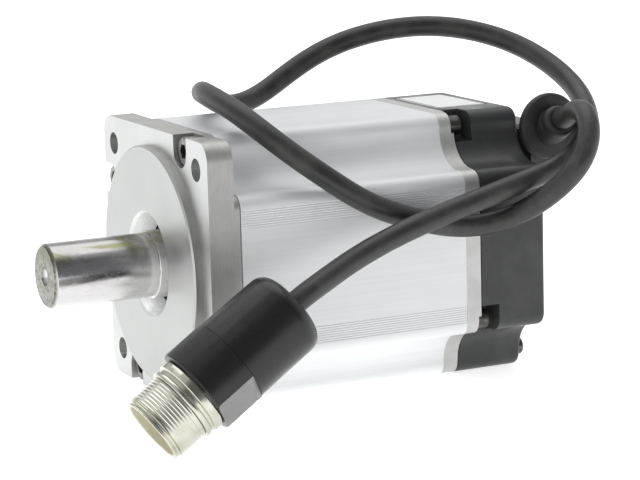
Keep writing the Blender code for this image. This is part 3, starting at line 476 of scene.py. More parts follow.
FINISH = {
    "extruded": extruded_aluminium(),
    "machined": machined_aluminium(),
    # painted light: the bore's wall is pale and half matt so it looks lit
    "bored_painted_light": bored_aluminium_painted_light(),
    # sawn on the plate's sides; painted shade on the pilot boss's side
    "sawn_and_painted_dark": sawn_aluminium_and_painted_dark(),
    "cast": cast_aluminium(),
    "cover": moulded_plastic("cover_plastic", (0.042, 0.043, 0.044), 0.36, 0.28, 0.02),
    "gland": moulded_plastic("gland_plastic", (0.026, 0.026, 0.026), 0.5, 0.4, 0.02),
    "backshell": moulded_plastic("backshell_plastic", (0.014, 0.014, 0.014), 0.26, 0.22, 0.012),
    # painted sheen: pale grey for the grip's flats, standing in for the sheen they catch
    "rubbed": moulded_plastic("grip_flat_painted_sheen", (0.26, 0.26, 0.256), 0.34, 0.22, 0.01),
    "screw": blackened_steel("blackened_steel", (0.20, 0.20, 0.19), (0.46, 0.45, 0.42)),
    # darker, for the screws at the rear
    "dark_screw": blackened_steel("darker_blackened_steel", (0.09, 0.09, 0.085), (0.22, 0.22, 0.20)),
    "shaft": shaft_steel(),
    "nickel": nickel_plate(),
    "nickel_inside": turned_metal("nickel_inside", (0.86, 0.84, 0.66), 0.4, 0.3, 0.9, 0.4),
    "jacket": cable_jacket(),
    "rubber": rubber(),
    "label": label_film(),
    "insert": insert_plastic(),
    "race": turned_metal("bearing_steel", (0.72, 0.72, 0.72), 0.14, 0.1, 0.85),
    "cage": turned_metal("cage_brass", (0.66, 0.50, 0.24), 0.3, 0.3),
    "hub": turned_metal("hub_metal", (0.70, 0.70, 0.69), 0.3, 0.2),
    "gold": turned_metal("contact_gold", (0.80, 0.62, 0.28), 0.2, 0.15),
    "lamination": laminated_steel(),
    "magnet": magnet(),
    "copper": copper_winding(),
    "board": circuit_board(),
    "disc": code_disc(),
}


# --- Mesh building ---

def add_rows(shape, rows):
    """Loops of points of the same length, joined side by side, with a face on each end."""
    loops = [[shape.verts.new(point) for point in row] for row in rows]
    count = len(loops[0])
    for low, high in zip(loops, loops[1:]):
        for i in range(count):
            j = (i + 1) % count
            shape.faces.new((low[i], low[j], high[j], high[i]))
    shape.faces.new(loops[0])
    shape.faces.new(loops[-1])


def add_loft(shape, rows):
    """rows are (along, outline), and an outline is a list of (across, up)."""
    add_rows(shape, [[(x, along, z) for x, z in outline] for along, outline in rows])


def add_turned(shape, profile, segments=96, centre=(0.0, 0.0)):
    """A profile of (radius, along) turned about Y. A radius of 0 at both ends makes a solid."""
    def ring(radius, along):
        outline = arc(centre, radius, 0, 360, segments if radius else 1)[:-1]
        return [shape.verts.new((x, along, z)) for x, z in outline]

    rings = [ring(*point) for point in profile]
    if profile[0][0] > 0.0:
        rings.append(rings[0])
    for first, second in zip(rings, rings[1:]):
        for i in range(segments):
            j = (i + 1) % segments
            corners = (
                first[i % len(first)], first[j % len(first)],
                second[j % len(second)], second[i % len(second)],
            )
            shape.faces.new(list(dict.fromkeys(corners)))


def add_rod(shape, radius, start, end, centre=(0.0, 0.0), segments=48):
    add_turned(shape, [(0.0, start), (radius, start), (radius, end), (0.0, end)], segments, centre)


def add_box(shape, low, high):
    size = [b - a for a, b in zip(low, high)]
    middle = [(a + b) / 2 for a, b in zip(low, high)]
    matrix = Matrix.Translation(middle) @ Matrix.Diagonal((*size, 1.0))
    bmesh.ops.create_cube(shape, size=1.0, matrix=matrix)


def raw_object(name, fill, at):
    shape = bmesh.new()
    fill(shape)
    bmesh.ops.transform(shape, matrix=at, verts=shape.verts)
    bmesh.ops.recalc_face_normals(shape, faces=shape.faces)
    mesh = bpy.data.meshes.new(name)
    shape.to_mesh(mesh)
    shape.free()
    obj = bpy.data.objects.new(name, mesh)
    SCENE.collection.objects.link(obj)
    return obj


def shade(obj, angle):
    obj.data.shade_smooth()
    obj.data.set_sharp_from_angle(angle=math.radians(angle))
    obj.modifiers.new("normals", "WEIGHTED_NORMAL").keep_sharp = True


def combine(obj, steps):
    """Takes obj through each (operation, other object) in steps, and removes the others."""
    for operation, other in steps:
        step = obj.modifiers.new(other.name, "BOOLEAN")
        step.operation = operation
        step.solver = "EXACT"
        step.object = other
    bpy.context.view_layer.update()
    graph = bpy.context.evaluated_depsgraph_get()
    mesh = bpy.data.meshes.new_from_object(obj.evaluated_get(graph))
    obj.modifiers.clear()
    obj.data = mesh
    for _, other in steps:
        bpy.data.objects.remove(other)


def round_edges(mesh, width):
    """Every sharp edge gets a small round of the width, in millimetres."""
    shape = bmesh.new()
    shape.from_mesh(mesh)
    bmesh.ops.remove_doubles(shape, verts=shape.verts, dist=2e-6)
    bmesh.ops.dissolve_limit(shape, angle_limit=math.radians(0.4), verts=shape.verts, edges=shape.edges)
    chosen = [e for e in shape.edges if e.is_manifold and e.calc_face_angle() > math.radians(35.0)]
    bmesh.ops.bevel(shape, geom=chosen, offset=width * MM, offset_type="OFFSET", segments=2,
                    profile=0.5, affect="EDGES", clamp_overlap=True)
    shape.to_mesh(mesh)
    shape.free()


def piece(name, fill, finish, slot, replaces, body="stator", at=MOTOR, steps=(), edge=0.0, zones=()):
    """One finished piece of the motor.

    steps are (operation, fill function) for Booleans, and edge is the width of its rounded edges.
    zones are (finish, test), where test takes a face's middle and its normal, in the axes of at,
    in millimetres.
    """
    obj = raw_object(name, fill, at)
    if steps:
        combine(obj, [(operation, raw_object(f"{name}_{i}", other, at))
                      for i, (operation, other) in enumerate(steps)])
    if edge:
        round_edges(obj.data, edge)
    shade(obj, 50 if edge else 32)  # in degrees: the rounds have to shade smoothly
    obj.data.materials.clear()
    obj.data.materials.append(FINISH[finish])
    for number, (zone_finish, inside) in enumerate(zones, 1):
        obj.data.materials.append(FINISH[zone_finish])
        for face in obj.data.polygons:
            if inside(at.inverted() @ face.center, (at.inverted().to_3x3() @ face.normal).normalized()):
                face.material_index = number
    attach(obj, body)
    if replaces:
        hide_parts(*replaces)
    return obj


def polish(node_name, finish, edge):
    """Keeps a CAD node: smooth faces, small rounds on its edges, and its material."""
    obj = NODES[node_name]
    obj.data.materials.clear()
    obj.data.materials.append(FINISH[finish])
    obj.data.shade_smooth()
    weld = obj.modifiers.new("weld", "WELD")
    weld.merge_threshold = 2e-6
    flat = obj.modifiers.new("flat", "DECIMATE")
    flat.decimate_type = "DISSOLVE"
    flat.angle_limit = math.radians(0.5)
    rounded = obj.modifiers.new("rounded", "BEVEL")
    rounded.limit_method = "ANGLE"
    rounded.angle_limit = math.radians(32)
    rounded.width = edge * MM
    rounded.segments = 2
    obj.modifiers.new("normals", "WEIGHTED_NORMAL")


# --- Outlines ---

def polar(radius, degrees):
    angle = math.radians(degrees)
    return radius * math.cos(angle), radius * math.sin(angle)


def arc(centre, radius, start, end, steps=14):
    turns = [polar(radius, start + (end - start) * i / steps) for i in range(steps + 1)]
    return [(centre[0] + across, centre[1] + up) for across, up in turns]


def quarter_turns(points):
    """The points, and the same points turned by 90, 180 and 270 degrees."""
    found = []
    for _ in range(4):
        found += points
        points = [(-z, x) for x, z in points]
    return found


def square_outline(half, corner):
    return quarter_turns(arc((half - corner, half - corner), corner, 0, 90))


def plus_outline(inset=0.0):
    half, arm = FRAME_HALF - inset, ARM_HALF - inset
    tip, root = TIP_ROUND - inset, ROOT_ROUND + inset
    near_tip = arc((half - tip, arm - tip), tip, 0, 90, 10)
    inner_root = arc((arm + root, arm + root), root, 270, 180, 20)
    far_tip = arc((arm - tip, half - tip), tip, 0, 90, 10)
    return quarter_turns(near_tip + inner_root + far_tip)


def grooved_outline():
    """The plus, with two bands of fine grooves on each of its side arms."""
    centres = [GROOVE_FIRST + GROOVE_PITCH * i for i in range(GROOVES)]
    grooves = []
    for centre in sorted(centres + [-c for c in centres]):
        grooves += [
            (FRAME_HALF, centre - GROOVE_HALF_WIDTH),
            (FRAME_HALF - GROOVE_DEPTH, centre),
            (FRAME_HALF, centre + GROOVE_HALF_WIDTH),
        ]
    outline = plus_outline()
    half_way = len(outline) // 2
    opposite = [(-x, -z) for x, z in grooves]
    return outline[:half_way] + opposite + outline[half_way:] + grooves


def pinwheel(side, out):
    """Four spots round the axis, one near the edge of each arm, as (across, up)."""
    return [(side, out), (out, -side), (-side, -out), (-out, side)]


def add_notches(shape, notch, start, end):
    """The notch's outline, from start to end along the shaft, on each of the four arms."""
    for _ in range(4):
        add_loft(shape, [(start, notch), (end, notch)])
        notch = [(z, -x) for x, z in notch]


# --- Pieces ---

def make_front_flange():
    square = square_outline(FLANGE_HALF, FLANGE_CORNER)
    spigot_rear, housing = FLANGE_REAR + 2.5, BEARING_RADIUS + 4.0
    hub = [
        (0.0, -BOSS), (BOSS_RADIUS - 0.5, -BOSS), (BOSS_RADIUS, -BOSS + 0.5), (BOSS_RADIUS, 4.0),
        (FRAME_BORE - GAP, 5.0), (FRAME_BORE - GAP, spigot_rear), (housing, spigot_rear),
        (housing, BEARING_REAR + GAP), (0.0, BEARING_REAR + GAP),
    ]
    bore = [
        (0.0, -BOSS - 1.0), (BOSS_BORE + 1.0, -BOSS - 1.0),
        (BOSS_BORE - BOSS_CHAMFER, -BOSS + BOSS_CHAMFER), (MOUTH_BORE, SEAL_SEAT),
        (SEAL_BORE, SEAL_SEAT), (SEAL_BORE, BEARING_FRONT - GAP),
        (BEARING_RADIUS, BEARING_FRONT - GAP), (BEARING_RADIUS, BEARING_REAR + 2.0),
        (0.0, BEARING_REAR + 2.0),
    ]

    def holes(shape):
        for where in quarter_turns([(HOLE_SPOT, HOLE_SPOT)]):
            add_rod(shape, HOLE_RADIUS, -1.0, PLATE_REAR + 1.0, where)
        for where in pinwheel(SCREW_SIDE, SCREW_OUT):
            add_rod(shape, SHANK_HOLE, SLOT_DEPTH - 1.0, FLANGE_REAR + 1.0, where, 24)

    def slots(shape):
        """Each slot is a round-bottomed notch, open at its arm's outer edge."""
        outer = FLANGE_HALF + 2.0
        notch = arc((SCREW_SIDE, SCREW_OUT), SLOT_RADIUS, 180, 360, 24)
        notch += [(SCREW_SIDE + SLOT_RADIUS, outer), (SCREW_SIDE - SLOT_RADIUS, outer)]
        add_notches(shape, notch, -1.0, SLOT_DEPTH)

    def mouth(middle, normal):
        """The bore and its cone, up to the bearing, painted pale as light that reaches into it."""
        inside = math.hypot(middle.x, middle.z) < BOSS_BORE + 0.3 and middle.y < BEARING_FRONT
        return inside and abs(normal.y) < 0.95

    def sides(middle, _):
        """The plate's outer sides, and the side of the pilot boss, which is given the darker sawn
        finish as painted shade in place of a dark reflection.
        """
        plate = middle.y > 0.2 and max(abs(middle.x), abs(middle.z)) > FLANGE_HALF - FLANGE_CORNER
        # painted shade: the boss's turned side takes the darker sawn finish, standing in for a dark
        # reflection
        boss = math.hypot(middle.x, middle.z) > BOSS_RADIUS - 0.2 and -BOSS + 0.5 < middle.y < -0.3
        return plate or boss

    arms = [(PLATE_REAR - 2.0, plus_outline()), (FLANGE_REAR, plus_outline())]
    piece("flange_casting", lambda s: add_loft(s, [(0.0, square), (PLATE_REAR, square)]),
          "machined", "machined_aluminium", ["front_flange"], edge=0.22,
          zones=[("bored_painted_light", mouth), ("sawn_and_painted_dark", sides)], steps=[
              ("UNION", lambda s: add_loft(s, arms)),
              ("UNION", lambda s: add_turned(s, hub, 128)),
              ("DIFFERENCE", lambda s: add_turned(s, bore)),
              ("DIFFERENCE", slots),
              ("DIFFERENCE", holes),
          ])


def make_frame():
    """The extrusion reaches almost to the rear bracket, where the real pieces touch."""
    seam, front_hole, rear_hole = 0.04, 11.0, 9.0
    outline, rear = grooved_outline(), FRAME_REAR + GAP - seam

    def bores(shape):
        add_rod(shape, FRAME_BORE, FRAME_FRONT - 1.0, FRAME_REAR + 1.0, segments=96)
        for where in pinwheel(SCREW_SIDE, SCREW_OUT):
            add_rod(shape, SHANK_HOLE, FRAME_FRONT - 1.0, FRAME_FRONT + front_hole, where, 24)
            add_rod(shape, SHANK_HOLE, FRAME_REAR - rear_hole, FRAME_REAR + 1.0, where, 24)

    piece("frame_extrusion", lambda s: add_loft(s, [(FRAME_FRONT, outline), (rear, outline)]),
          "extruded", "machined_aluminium", ["stator_frame"], steps=[("DIFFERENCE", bores)])


def make_rear_cover():
    rows = [(COVER_FRONT, plus_outline())]
    steps = 8
    for i in range(steps + 1):
        angle = math.radians(90 * i / steps)
        inset = COVER_EDGE * (1 - math.cos(angle))
        rows.append((COVER_REAR - COVER_EDGE + COVER_EDGE * math.sin(angle), plus_outline(inset)))

    def hollow(shape):
        add_rod(shape, COVER_CAVITY, COVER_FRONT - 1.0, COVER_REAR - COVER_WALL, segments=96)
        for where in pinwheel(SCREW_SIDE, -COVER_SCREW_OUT):
            add_rod(shape, COVER_SCREW_HOLE, COVER_FRONT - 1.0, COVER_REAR + 1.0, where, 24)

    def pockets(shape):
        outer = FRAME_HALF + 2.0
        notch = [(SCREW_SIDE - POCKET_HALF, outer),
                 *arc((SCREW_SIDE, SCREW_OUT), POCKET_HALF, 180, 270, 10),
                 (ARM_HALF + 2.0, SCREW_OUT - POCKET_HALF), (ARM_HALF + 2.0, outer)]
        add_notches(shape, notch, COVER_FRONT - 1.0, COVER_FRONT + POCKET_LENGTH)

    def recess(shape):
        add_box(shape, LABEL_LOW - Vector((GAP, GAP, GAP)), LABEL_HIGH + Vector((GAP, GAP, 1.0)))

    piece("cover_shell", lambda s: add_loft(s, rows), "cover", "black_plastic", ["rear_cover"],
          edge=0.2, steps=[("DIFFERENCE", hollow), ("DIFFERENCE", pockets), ("DIFFERENCE", recess)])


def make_shaft():
    tip, shoulder = SHAFT_TIP, -BOSS
    radius, journal, seat, rear, hub = 9.5, 10.0, 12.0, 7.5, 4.0
    seat_end, bearing_end, hub_end = 71.6, 83.0, 94.6
    profile = [
        (0.0, tip + 6.0), (1.4, tip + 5.2), (1.4, tip + 1.6), (2.8, tip), (radius - 1.0, tip),
        (radius - 0.8, tip + 0.06), (radius - 0.06, tip + 0.8), (radius, tip + 1.0),
        (radius, shoulder), (journal - 0.15, shoulder), (journal, shoulder + 0.15),
        (journal, BEARING_REAR + GAP), (seat, BEARING_REAR + GAP),
        (seat, seat_end), (rear, seat_end), (rear, bearing_end), (hub, bearing_end), (hub, hub_end),
        (hub - 0.6, hub_end + 0.6), (0.0, hub_end + 0.6),
    ]
    piece("shaft_ground", lambda s: add_turned(s, profile, 128), "shaft", "shaft_steel",
          ["rotor_shaft"], "rotor")


def make_flange_screws():
    """Cap screws with a hexagon socket and fine straight knurling round the head."""
    head, shank, seat, length = 4.1, 2.1, SLOT_DEPTH - GAP, 13.0
    top = seat - 5.0
    teeth, tooth_depth, hexagon = 40, 0.12, 2.3
    for index, where in enumerate(pinwheel(SCREW_SIDE, SCREW_OUT), 1):
        at = Matrix.Translation(place(where[0], 0.0, where[1])) @ Matrix.Scale(MM, 4)

        def fill(shape):
            profile = [(head - 0.4, top), (head, top + 0.4), (head, seat - 0.5), (head - 0.12, seat)]
            rows = []
            for radius, along in profile:
                cut = tooth_depth if radius == head else 0.0
                rows.append((along, [polar(radius - cut * (i % 2), 180 * i / teeth)
                                     for i in range(teeth * 2)]))
            add_loft(shape, rows)

        def stem(shape):
            add_rod(shape, shank, seat - 1.0, seat + length, segments=24)

        def socket(shape):
            add_turned(shape, [(0.0, top - 0.5), (hexagon, top - 0.5), (hexagon, top + 2.6),
                               (0.0, top + 3.4)], 6)

        piece(f"cap_screw_{index}", fill, "screw", "screw_steel", [f"flange_screw_{index}"], at=at,
              steps=[("UNION", stem), ("DIFFERENCE", socket)])


def make_seal():
    """A lip seal, whose lip just clears the shaft's journal."""
    inner, outer = 10.05, SEAL_BORE - GAP
    front, rear = SEAL_SEAT + GAP, BEARING_FRONT - 2 * GAP
    profile = [(outer, front), (outer, rear), (inner + 1.8, rear), (inner + 1.8, front + 2.8),
               (inner + 0.2, front + 1.9), (inner + 0.2, front + 1.2), (inner + 0.9, front + 0.3),
               (inner + 1.5, front + 0.1), (inner + 1.9, front + 0.6), (outer - 1.6, front + 0.6),
               (outer - 1.3, front)]
    piece("lip_seal", lambda s: add_turned(s, profile), "rubber", "seal_rubber", ["oil_seal"])


def make_label():
    corner = 1.0
    left, front = LABEL_LOW.x + corner, LABEL_LOW.y + corner
    right, rear = LABEL_HIGH.x - corner, LABEL_HIGH.y - corner

    def fill(shape):
        outline = []
        for quarter, centre in enumerate(((right, rear), (left, rear), (left, front), (right, front))):
            outline += arc(centre, corner, 90 * quarter, 90 * quarter + 90, 6)
        add_rows(shape, [[(x, y, z) for x, y in outline] for z in (LABEL_LOW.z, LABEL_HIGH.z)])

    piece("label_plate", fill, "label", "label", ["name_label"], edge=0.05)


def make_gland():
    """A round nut, and a bent boot that stands flat on it."""
    turn = Matrix.Translation(GLAND) @ Matrix.Rotation(-math.pi / 2, 4, "Z")
    sideways = turn @ Matrix.Scale(MM, 4)
    tilted = turn @ Matrix.Rotation(BOOT_TILT, 4, "X") @ Matrix.Scale(MM, 4)
    radius, thick = 10.0, 2.5
    profile = [(0.0, -thick), (radius - 0.5, -thick), (radius - 0.1, -thick + 0.2),
               (radius, -thick + 0.5), (radius, -0.9), (radius - 0.2, -0.4), (radius - 0.6, -0.1),
               (radius - 1.0, 0.0), (0.0, 0.0)]
    nut = piece("gland_nut", lambda s: add_turned(s, profile), "gland", "black_plastic",
                ["cable_gland"], at=sideways)
    boot = [(0.0, -3.0), (5.4, -3.0), (5.4, 1.6), (5.3, 2.3), (5.1, 2.8), (4.95, 3.1), (4.95, 3.4),
            (5.05, 3.7), (5.05, 4.6), (4.85, 5.3), (4.5, 5.85), (4.0, 6.2), (3.5, 6.3), (0.0, 6.3)]

    def foot(shape):
        """All that lies behind the nut's outer face, and a gap's width in front of it."""
        add_box(shape, (-20.0, -20.0, -20.0), (20.0, GAP, 20.0))

    relief = raw_object("boot_rings", lambda s: add_turned(s, boot, 64), tilted)
    combine(relief, [("DIFFERENCE", raw_object("boot_foot", foot, sideways))])
    shade(relief, 40)
    relief.data.materials.append(FINISH["gland"])
    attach(relief, "stator")
    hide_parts("strain_relief_boot")
    return [nut, relief]


# Cable: sideways, along the shaft, and up from the shaft, in millimetres
CABLE_ROUTE = [
    (33.0, 118.5, 36.2), (38.4, 118.3, 38.5), (43.8, 117.6, 40.2), (49.2, 116.4, 40.0),
    (54.0, 114.8, 37.6), (57.4, 112.6, 33.4), (58.6, 109.6, 28.2), (57.0, 105.8, 22.8),
    (53.2, 101.4, 17.6), (49.2, 96.4, 13.4), (46.0, 90.0, 10.6), (44.2, 79.0, 9.6),
    (44.0, 64.0, 12.8), (44.1, 47.0, 19.8), (42.4, 37.2, 26.4), (37.7, 28.7, 33.4),
    (30.8, 22.2, 39.9), (21.8, 18.0, 45.1), (11.0, 16.1, 48.1), (-1.0, 17.3, 48.8),
    (-12.5, 21.6, 47.4), (-23.2, 28.6, 44.1), (-31.5, 37.9, 40.4), (-36.2, 49.1, 41.4),
    (-37.5, 61.6, 47.9), (-37.1, 75.6, 54.8), (-34.6, 92.0, 59.1), (-28.5, 112.6, 59.7),
    (-16.5, 128.8, 55.0), (-2.1, 135.8, 48.3), (11.2, 136.7, 42.1), (23.9, 133.0, 36.4),
    (34.7, 126.1, 30.8), (42.1, 114.9, 25.6), (46.0, 100.0, 21.8), (49.5, 79.9, 17.8),
    (52.8, 57.7, 12.9), (58.1, 34.5, 6.2), (62.2, 23.0, 2.1), (65.0, 13.5, -2.1),
]


def smooth_curve(points, step, start_way, end_way):
    """Points about a step apart on a cubic spline through the given ones."""
    points = np.array(points, float)
    spans = np.linalg.norm(np.diff(points, axis=0), axis=1)
    count = len(points)
    system = np.zeros((count, count))
    right = np.zeros((count, 3))
    system[0, 0] = system[-1, -1] = 1.0
    right[0], right[-1] = start_way, end_way
    for i in range(1, count - 1):
        before, after = spans[i - 1], spans[i]
        system[i, i - 1:i + 2] = after, 2 * (before + after), before
        right[i] = 3 * (after / before * (points[i] - points[i - 1])
                        + before / after * (points[i + 1] - points[i]))
    ways = np.linalg.solve(system, right)
    fine = []
    for i in range(count - 1):
        for t in np.arange(0, 1, 0.05):
            fine.append((2 * t**3 - 3 * t**2 + 1) * points[i]
                        + (t**3 - 2 * t**2 + t) * spans[i] * ways[i]
                        + (3 * t**2 - 2 * t**3) * points[i + 1]
                        + (t**3 - t**2) * spans[i] * ways[i + 1])
    fine = np.array(fine + [points[-1]])
    lengths = np.concatenate([[0.0], np.cumsum(np.linalg.norm(np.diff(fine, axis=0), axis=1))])
    wanted = np.linspace(0.0, lengths[-1], round(lengths[-1] / step) + 1)
    return [[float(np.interp(at, lengths, fine[:, k])) for k in range(3)] for at in wanted]


def make_cable():
    way_out = (math.cos(BOOT_TILT), 0.0, math.sin(BOOT_TILT))
    way_in = (0.0, -math.cos(CONNECTOR_TILT), -math.sin(CONNECTOR_TILT))
    points = smooth_curve(CABLE_ROUTE, CABLE_STEP, way_out, way_in)
    data = bpy.data.curves.new("cable_jacket", "CURVE")
    data.dimensions = "3D"
    data.bevel_depth = CABLE_RADIUS * MM
    data.bevel_resolution = 8
    data.use_fill_caps = True
    data.materials.append(FINISH["jacket"])
    spline = data.splines.new("POLY")
    spline.points.add(len(points) - 1)
    for made, point in zip(spline.points, points):
        made.co = (*place(*point), 1.0)
    spline.use_smooth = True
    cable = bpy.data.objects.new("cable_jacket", data)
    SCENE.collection.objects.link(cable)
    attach(cable, "stator")
    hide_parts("cable")
    return cable


def add_threaded(shape, bore, start, end, radius, depth, pitch):
    """A tube whose outer side carries a rounded helical thread between start and end."""
    segments, rows_a_turn = 96, 12

    def ring(along, reach):
        return [(x, along, z) for x, z in (
            polar(reach(i / segments), 360 * i / segments) for i in range(segments))]

    steps = round((end - start) / pitch * rows_a_turn)
    rows = [ring(start, lambda share: bore)]
    for j in range(steps + 1):
        along = start + (end - start) * j / steps
        fade = min(1.0, (along - start) / pitch, (end - along) / pitch)
        rows.append(ring(along, lambda share: radius - depth * fade * (
            0.5 + 0.5 * math.cos(2 * math.pi * (along / pitch + share)))))
    rows.append(ring(end, lambda share: bore))
    loops = [[shape.verts.new(point) for point in row] for row in rows]
    for low, high in zip(loops, loops[1:] + loops[:1]):
        for i in range(segments):
            j = (i + 1) % segments
            shape.faces.new((low[i], low[j], high[j], high[i]))


def make_connector():
    """Nickel shell with rim, thread and collar, black grip ring with flats, and a round back nut."""
    bore, rim, thread, collar = 8.6, 9.8, 10.1, 11.3
    shell_rear, collar_rear = SHELL_LENGTH + 4.0, SHELL_LENGTH - GAP
    thread_start, thread_end, thread_depth, pitch = 1.8, 10.2, 0.2, 1.0
    pieces = []

    def made(*settings, **more):
        pieces.append(piece(*settings, at=CONNECTOR, **more))

    def inside(middle, normal):
        return math.hypot(middle.x, middle.z) < bore + 0.1 and abs(normal.y) < 0.9

    mouth = [(bore + 0.25, 0.0), (rim - 0.2, 0.0), (rim - 0.02, 0.08), (rim, 0.25), (rim - 0.05, 0.4),
             (rim - 0.3, 0.6), (rim - 0.3, 0.75), (rim, 1.0), (rim + 0.05, 1.2), (rim, 1.45),
             (rim - 0.2, thread_start), (bore, thread_start), (bore, 0.25)]
    rear = [(bore, thread_end), (thread - 0.4, thread_end), (thread - 0.3, 10.35)]
    rear += [(collar - 0.5 + 0.25 * math.sin(math.radians(a)), 11.1 - 0.7 * math.cos(math.radians(a)))
             for a in range(0, 181, 20)]
    rear += [(collar - 0.75, 12.1), (collar - 0.7, 12.9), (collar - 0.2, 13.15), (collar - 0.02, 13.4),
             (collar, 13.8), (collar, collar_rear - 0.5), (collar - 0.15, collar_rear - 0.1),
             (collar - 0.3, collar_rear), (thread, collar_rear), (thread, shell_rear),
             (bore, shell_rear)]
    for name, fill, replaces in (
        ("shell_rim", lambda s: add_turned(s, mouth), ["connector_shell"]),
        ("shell_thread", lambda s: add_threaded(
            s, bore, thread_start, thread_end, thread, thread_depth, pitch), []),
        ("shell_collar", lambda s: add_turned(s, rear), []),
    ):
        made(name, fill, "nickel", "nickel", replaces, zones=[("nickel_inside", inside)])

    insert_front, insert_rear, pin_hole = 9.0, shell_rear - 1.0, 1.25
    spots = [(0.0, 0.0)] + [polar(4.6, 60 * i) for i in range(6)]

    def holes(shape):
        for where in spots:
            add_rod(shape, pin_hole, insert_front - 1.0, insert_rear + 1.0, where, 24)

    made("insert_block", lambda s: add_rod(s, bore - GAP, insert_front, insert_rear), "insert",
         "insert_plastic", ["connector_insert"], steps=[("DIFFERENCE", holes)], edge=0.1)
    pin = [(0.0, 5.0), (0.45, 5.05), (0.85, 5.3), (1.0, 5.8), (1.0, insert_rear - GAP),
           (0.0, insert_rear - GAP)]
    for index, where in enumerate(spots, 1):
        made(f"pin_{index}", lambda s: add_turned(s, pin, 24, where), "gold", "contact_gold",
             [f"contact_pin_{index}"])

    grip_rear, radius = SHELL_LENGTH + GRIP_LENGTH, 12.8
    grip_bore = thread + GAP
    grip = [(grip_bore, SHELL_LENGTH), (radius - 0.5, SHELL_LENGTH),
            (radius - 0.15, SHELL_LENGTH + 0.15), (radius, SHELL_LENGTH + 0.5),
            (radius, grip_rear - 0.12), (radius - 0.12, grip_rear), (grip_bore, grip_rear)]

    def flats(shape):
        for near, far in ((-20.0, -GRIP_FLAT), (GRIP_FLAT, 20.0)):
            add_box(shape, (near, SHELL_LENGTH - 1.0, -20.0), (far, grip_rear + 1.0, 20.0))
        bmesh.ops.rotate(shape, verts=shape.verts, matrix=Matrix.Rotation(FLAT_TURN, 3, "Y"))

    # painted sheen: the flats are pale grey plastic in place of the reflection they catch
    def flat(middle, normal):
        across = abs(Vector((middle.x, middle.z)) @ Vector(polar(1.0, -math.degrees(FLAT_TURN))))
        return abs(across - GRIP_FLAT) < 0.05 and abs(normal.y) < 0.1

    made("grip_ring", lambda s: add_turned(s, grip, 128), "backshell", "black_plastic",
         ["connector_grip"], steps=[("DIFFERENCE", flats)], edge=0.2, zones=[("rubbed", flat)])

    nut_radius, round_edge, cable_end = 12.4, 4.2, CONNECTOR_LENGTH - GAP
    nut_front = grip_rear + 0.03  # the two are screwed tight
    nut = [(0.0, nut_front), (nut_radius + 0.1, nut_front), (nut_radius + 0.2, nut_front + 0.12)]
    nut += [(nut_radius - round_edge * (1 - math.cos(math.radians(a))),
             cable_end - round_edge * (1 - math.sin(math.radians(a)))) for a in range(0, 91, 9)]
    nut += [(CABLE_RADIUS + 0.9, cable_end), (CABLE_RADIUS + 0.5, cable_end - 0.5),
            (0.0, cable_end - 0.5)]
    made("back_nut", lambda s: add_turned(s, nut, 128), "backshell", "black_plastic",
         ["connector_back_nut"])
    return pieces


def finish_cad_nodes():
    groups = {
        "cast": ["rear_bracket"],
        "cover": ["cable_outlet_box"],
        "gland": ["encoder_read_head"],
        "screw": [f"board_screw_{i}" for i in range(1, 4)],
        "dark_screw": [f"{kind}_screw_{i}" for kind in ("rear_bracket", "cover") for i in range(1, 5)],
        "race": ["wave_spring", *(f"{end}_bearing_{race}_race" for end in ("front", "rear")
                                  for race in ("inner", "outer"))],
        "cage": ["front_bearing_cage", "rear_bearing_cage"],
        "rubber": ["cover_gasket"],
        "lamination": ["stator_core", "rotor_core"],
        "magnet": ["magnet_ring"],
        "copper": ["stator_winding"],
        "board": ["encoder_board"],
        "disc": ["encoder_disc"],
        "hub": ["encoder_hub"],
    }
    for finish, names in groups.items():
        for name in names:
            polish(name, finish, 0.2 if finish in ("cast", "cover") else 0.08)


# --- Floor and light ---

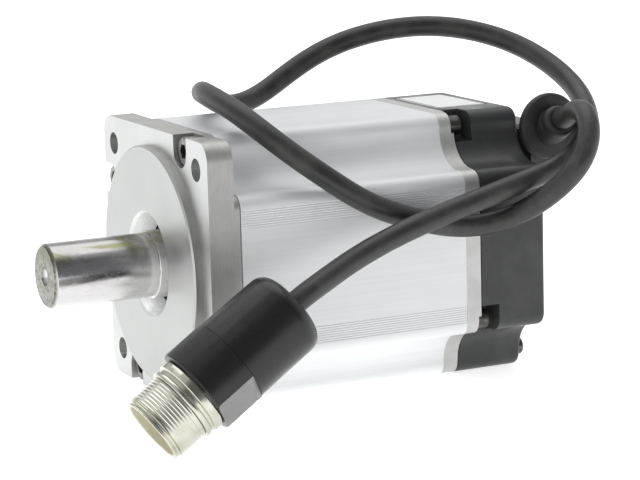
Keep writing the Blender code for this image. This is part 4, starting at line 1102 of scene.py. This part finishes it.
FLOOR_GLOW = 0.75
FLOOR_HALF, FLOOR_DROP = 6.0, 0.0002  # in metres: it lies a hair's breadth under the motor
SKY_LOW = (1.30, 1.31, 1.32)  # all round, up to a little above the horizon
SKY_HIGH = (0.62, 0.62, 0.63)
SKY_BLEND = (0.12, 0.45)  # heights of the sky's direction
ROOM = (0.15, 0.15, 0.16)  # the unlit room on the motor's near side
ROOM_WAY = Vector((0.90, 0.10, 0.42)).normalized()
ROOM_BLEND = (0.62, 0.88)  # cosines of the angle from its middle
SOFTBOX_PLACE = Vector((-0.4, 0.1, 1.3))
SOFTBOX_SIZE, SOFTBOX_POWER = 1.3, 6.5


def make_softbox():
    data = bpy.data.lights.new("softbox", "AREA")
    data.shape = "SQUARE"
    data.size = SOFTBOX_SIZE
    data.energy = SOFTBOX_POWER
    light = bpy.data.objects.new("softbox", data)
    light.location = SOFTBOX_PLACE
    light.rotation_euler = (-SOFTBOX_PLACE).to_track_quat("-Z", "Y").to_euler()
    SCENE.collection.objects.link(light)


def make_studio():
    def fill(shape):
        bmesh.ops.create_grid(shape, x_segments=1, y_segments=1, size=FLOOR_HALF)

    floor = raw_object("floor", fill, Matrix.Translation((0.0, 0.0, -FLOOR_DROP)))
    made, tree = new_material("floor_white", (0.85, 0.85, 0.85), 0.7, Emission_Strength=FLOOR_GLOW,
                              Emission_Color=(1.0, 1.0, 1.0, 1.0))
    wire(made, Roughness=level(tree, noise(tree, 40.0), 0.65, 0.75))
    floor.data.materials.append(made)
    world = bpy.data.worlds.new("studio")
    world.use_nodes = True
    tree = world.node_tree
    ray = node(tree, "TexCoord").outputs["Generated"]
    height = node(tree, "SeparateXYZ", {"Vector": ray}).outputs[2]
    sky = blend(tree, height, SKY_LOW, SKY_HIGH, 1.0, *SKY_BLEND)
    towards = node(tree, "VectorMath", {0: ray, 1: ROOM_WAY}, operation="DOT_PRODUCT").outputs["Value"]
    sky = blend(tree, towards, sky, ROOM, 1.0, *ROOM_BLEND)
    tree.links.new(sky, tree.nodes["Background"].inputs["Color"])
    SCENE.world = world
    SCENE.view_settings.view_transform = "Standard"
    make_softbox()


make_camera()
cable = make_cable()
make_gland() + make_connector()
make_front_flange()
make_frame()
make_rear_cover()
make_shaft()
make_flange_screws()
make_seal()
make_label()
finish_cad_nodes()
make_studio()
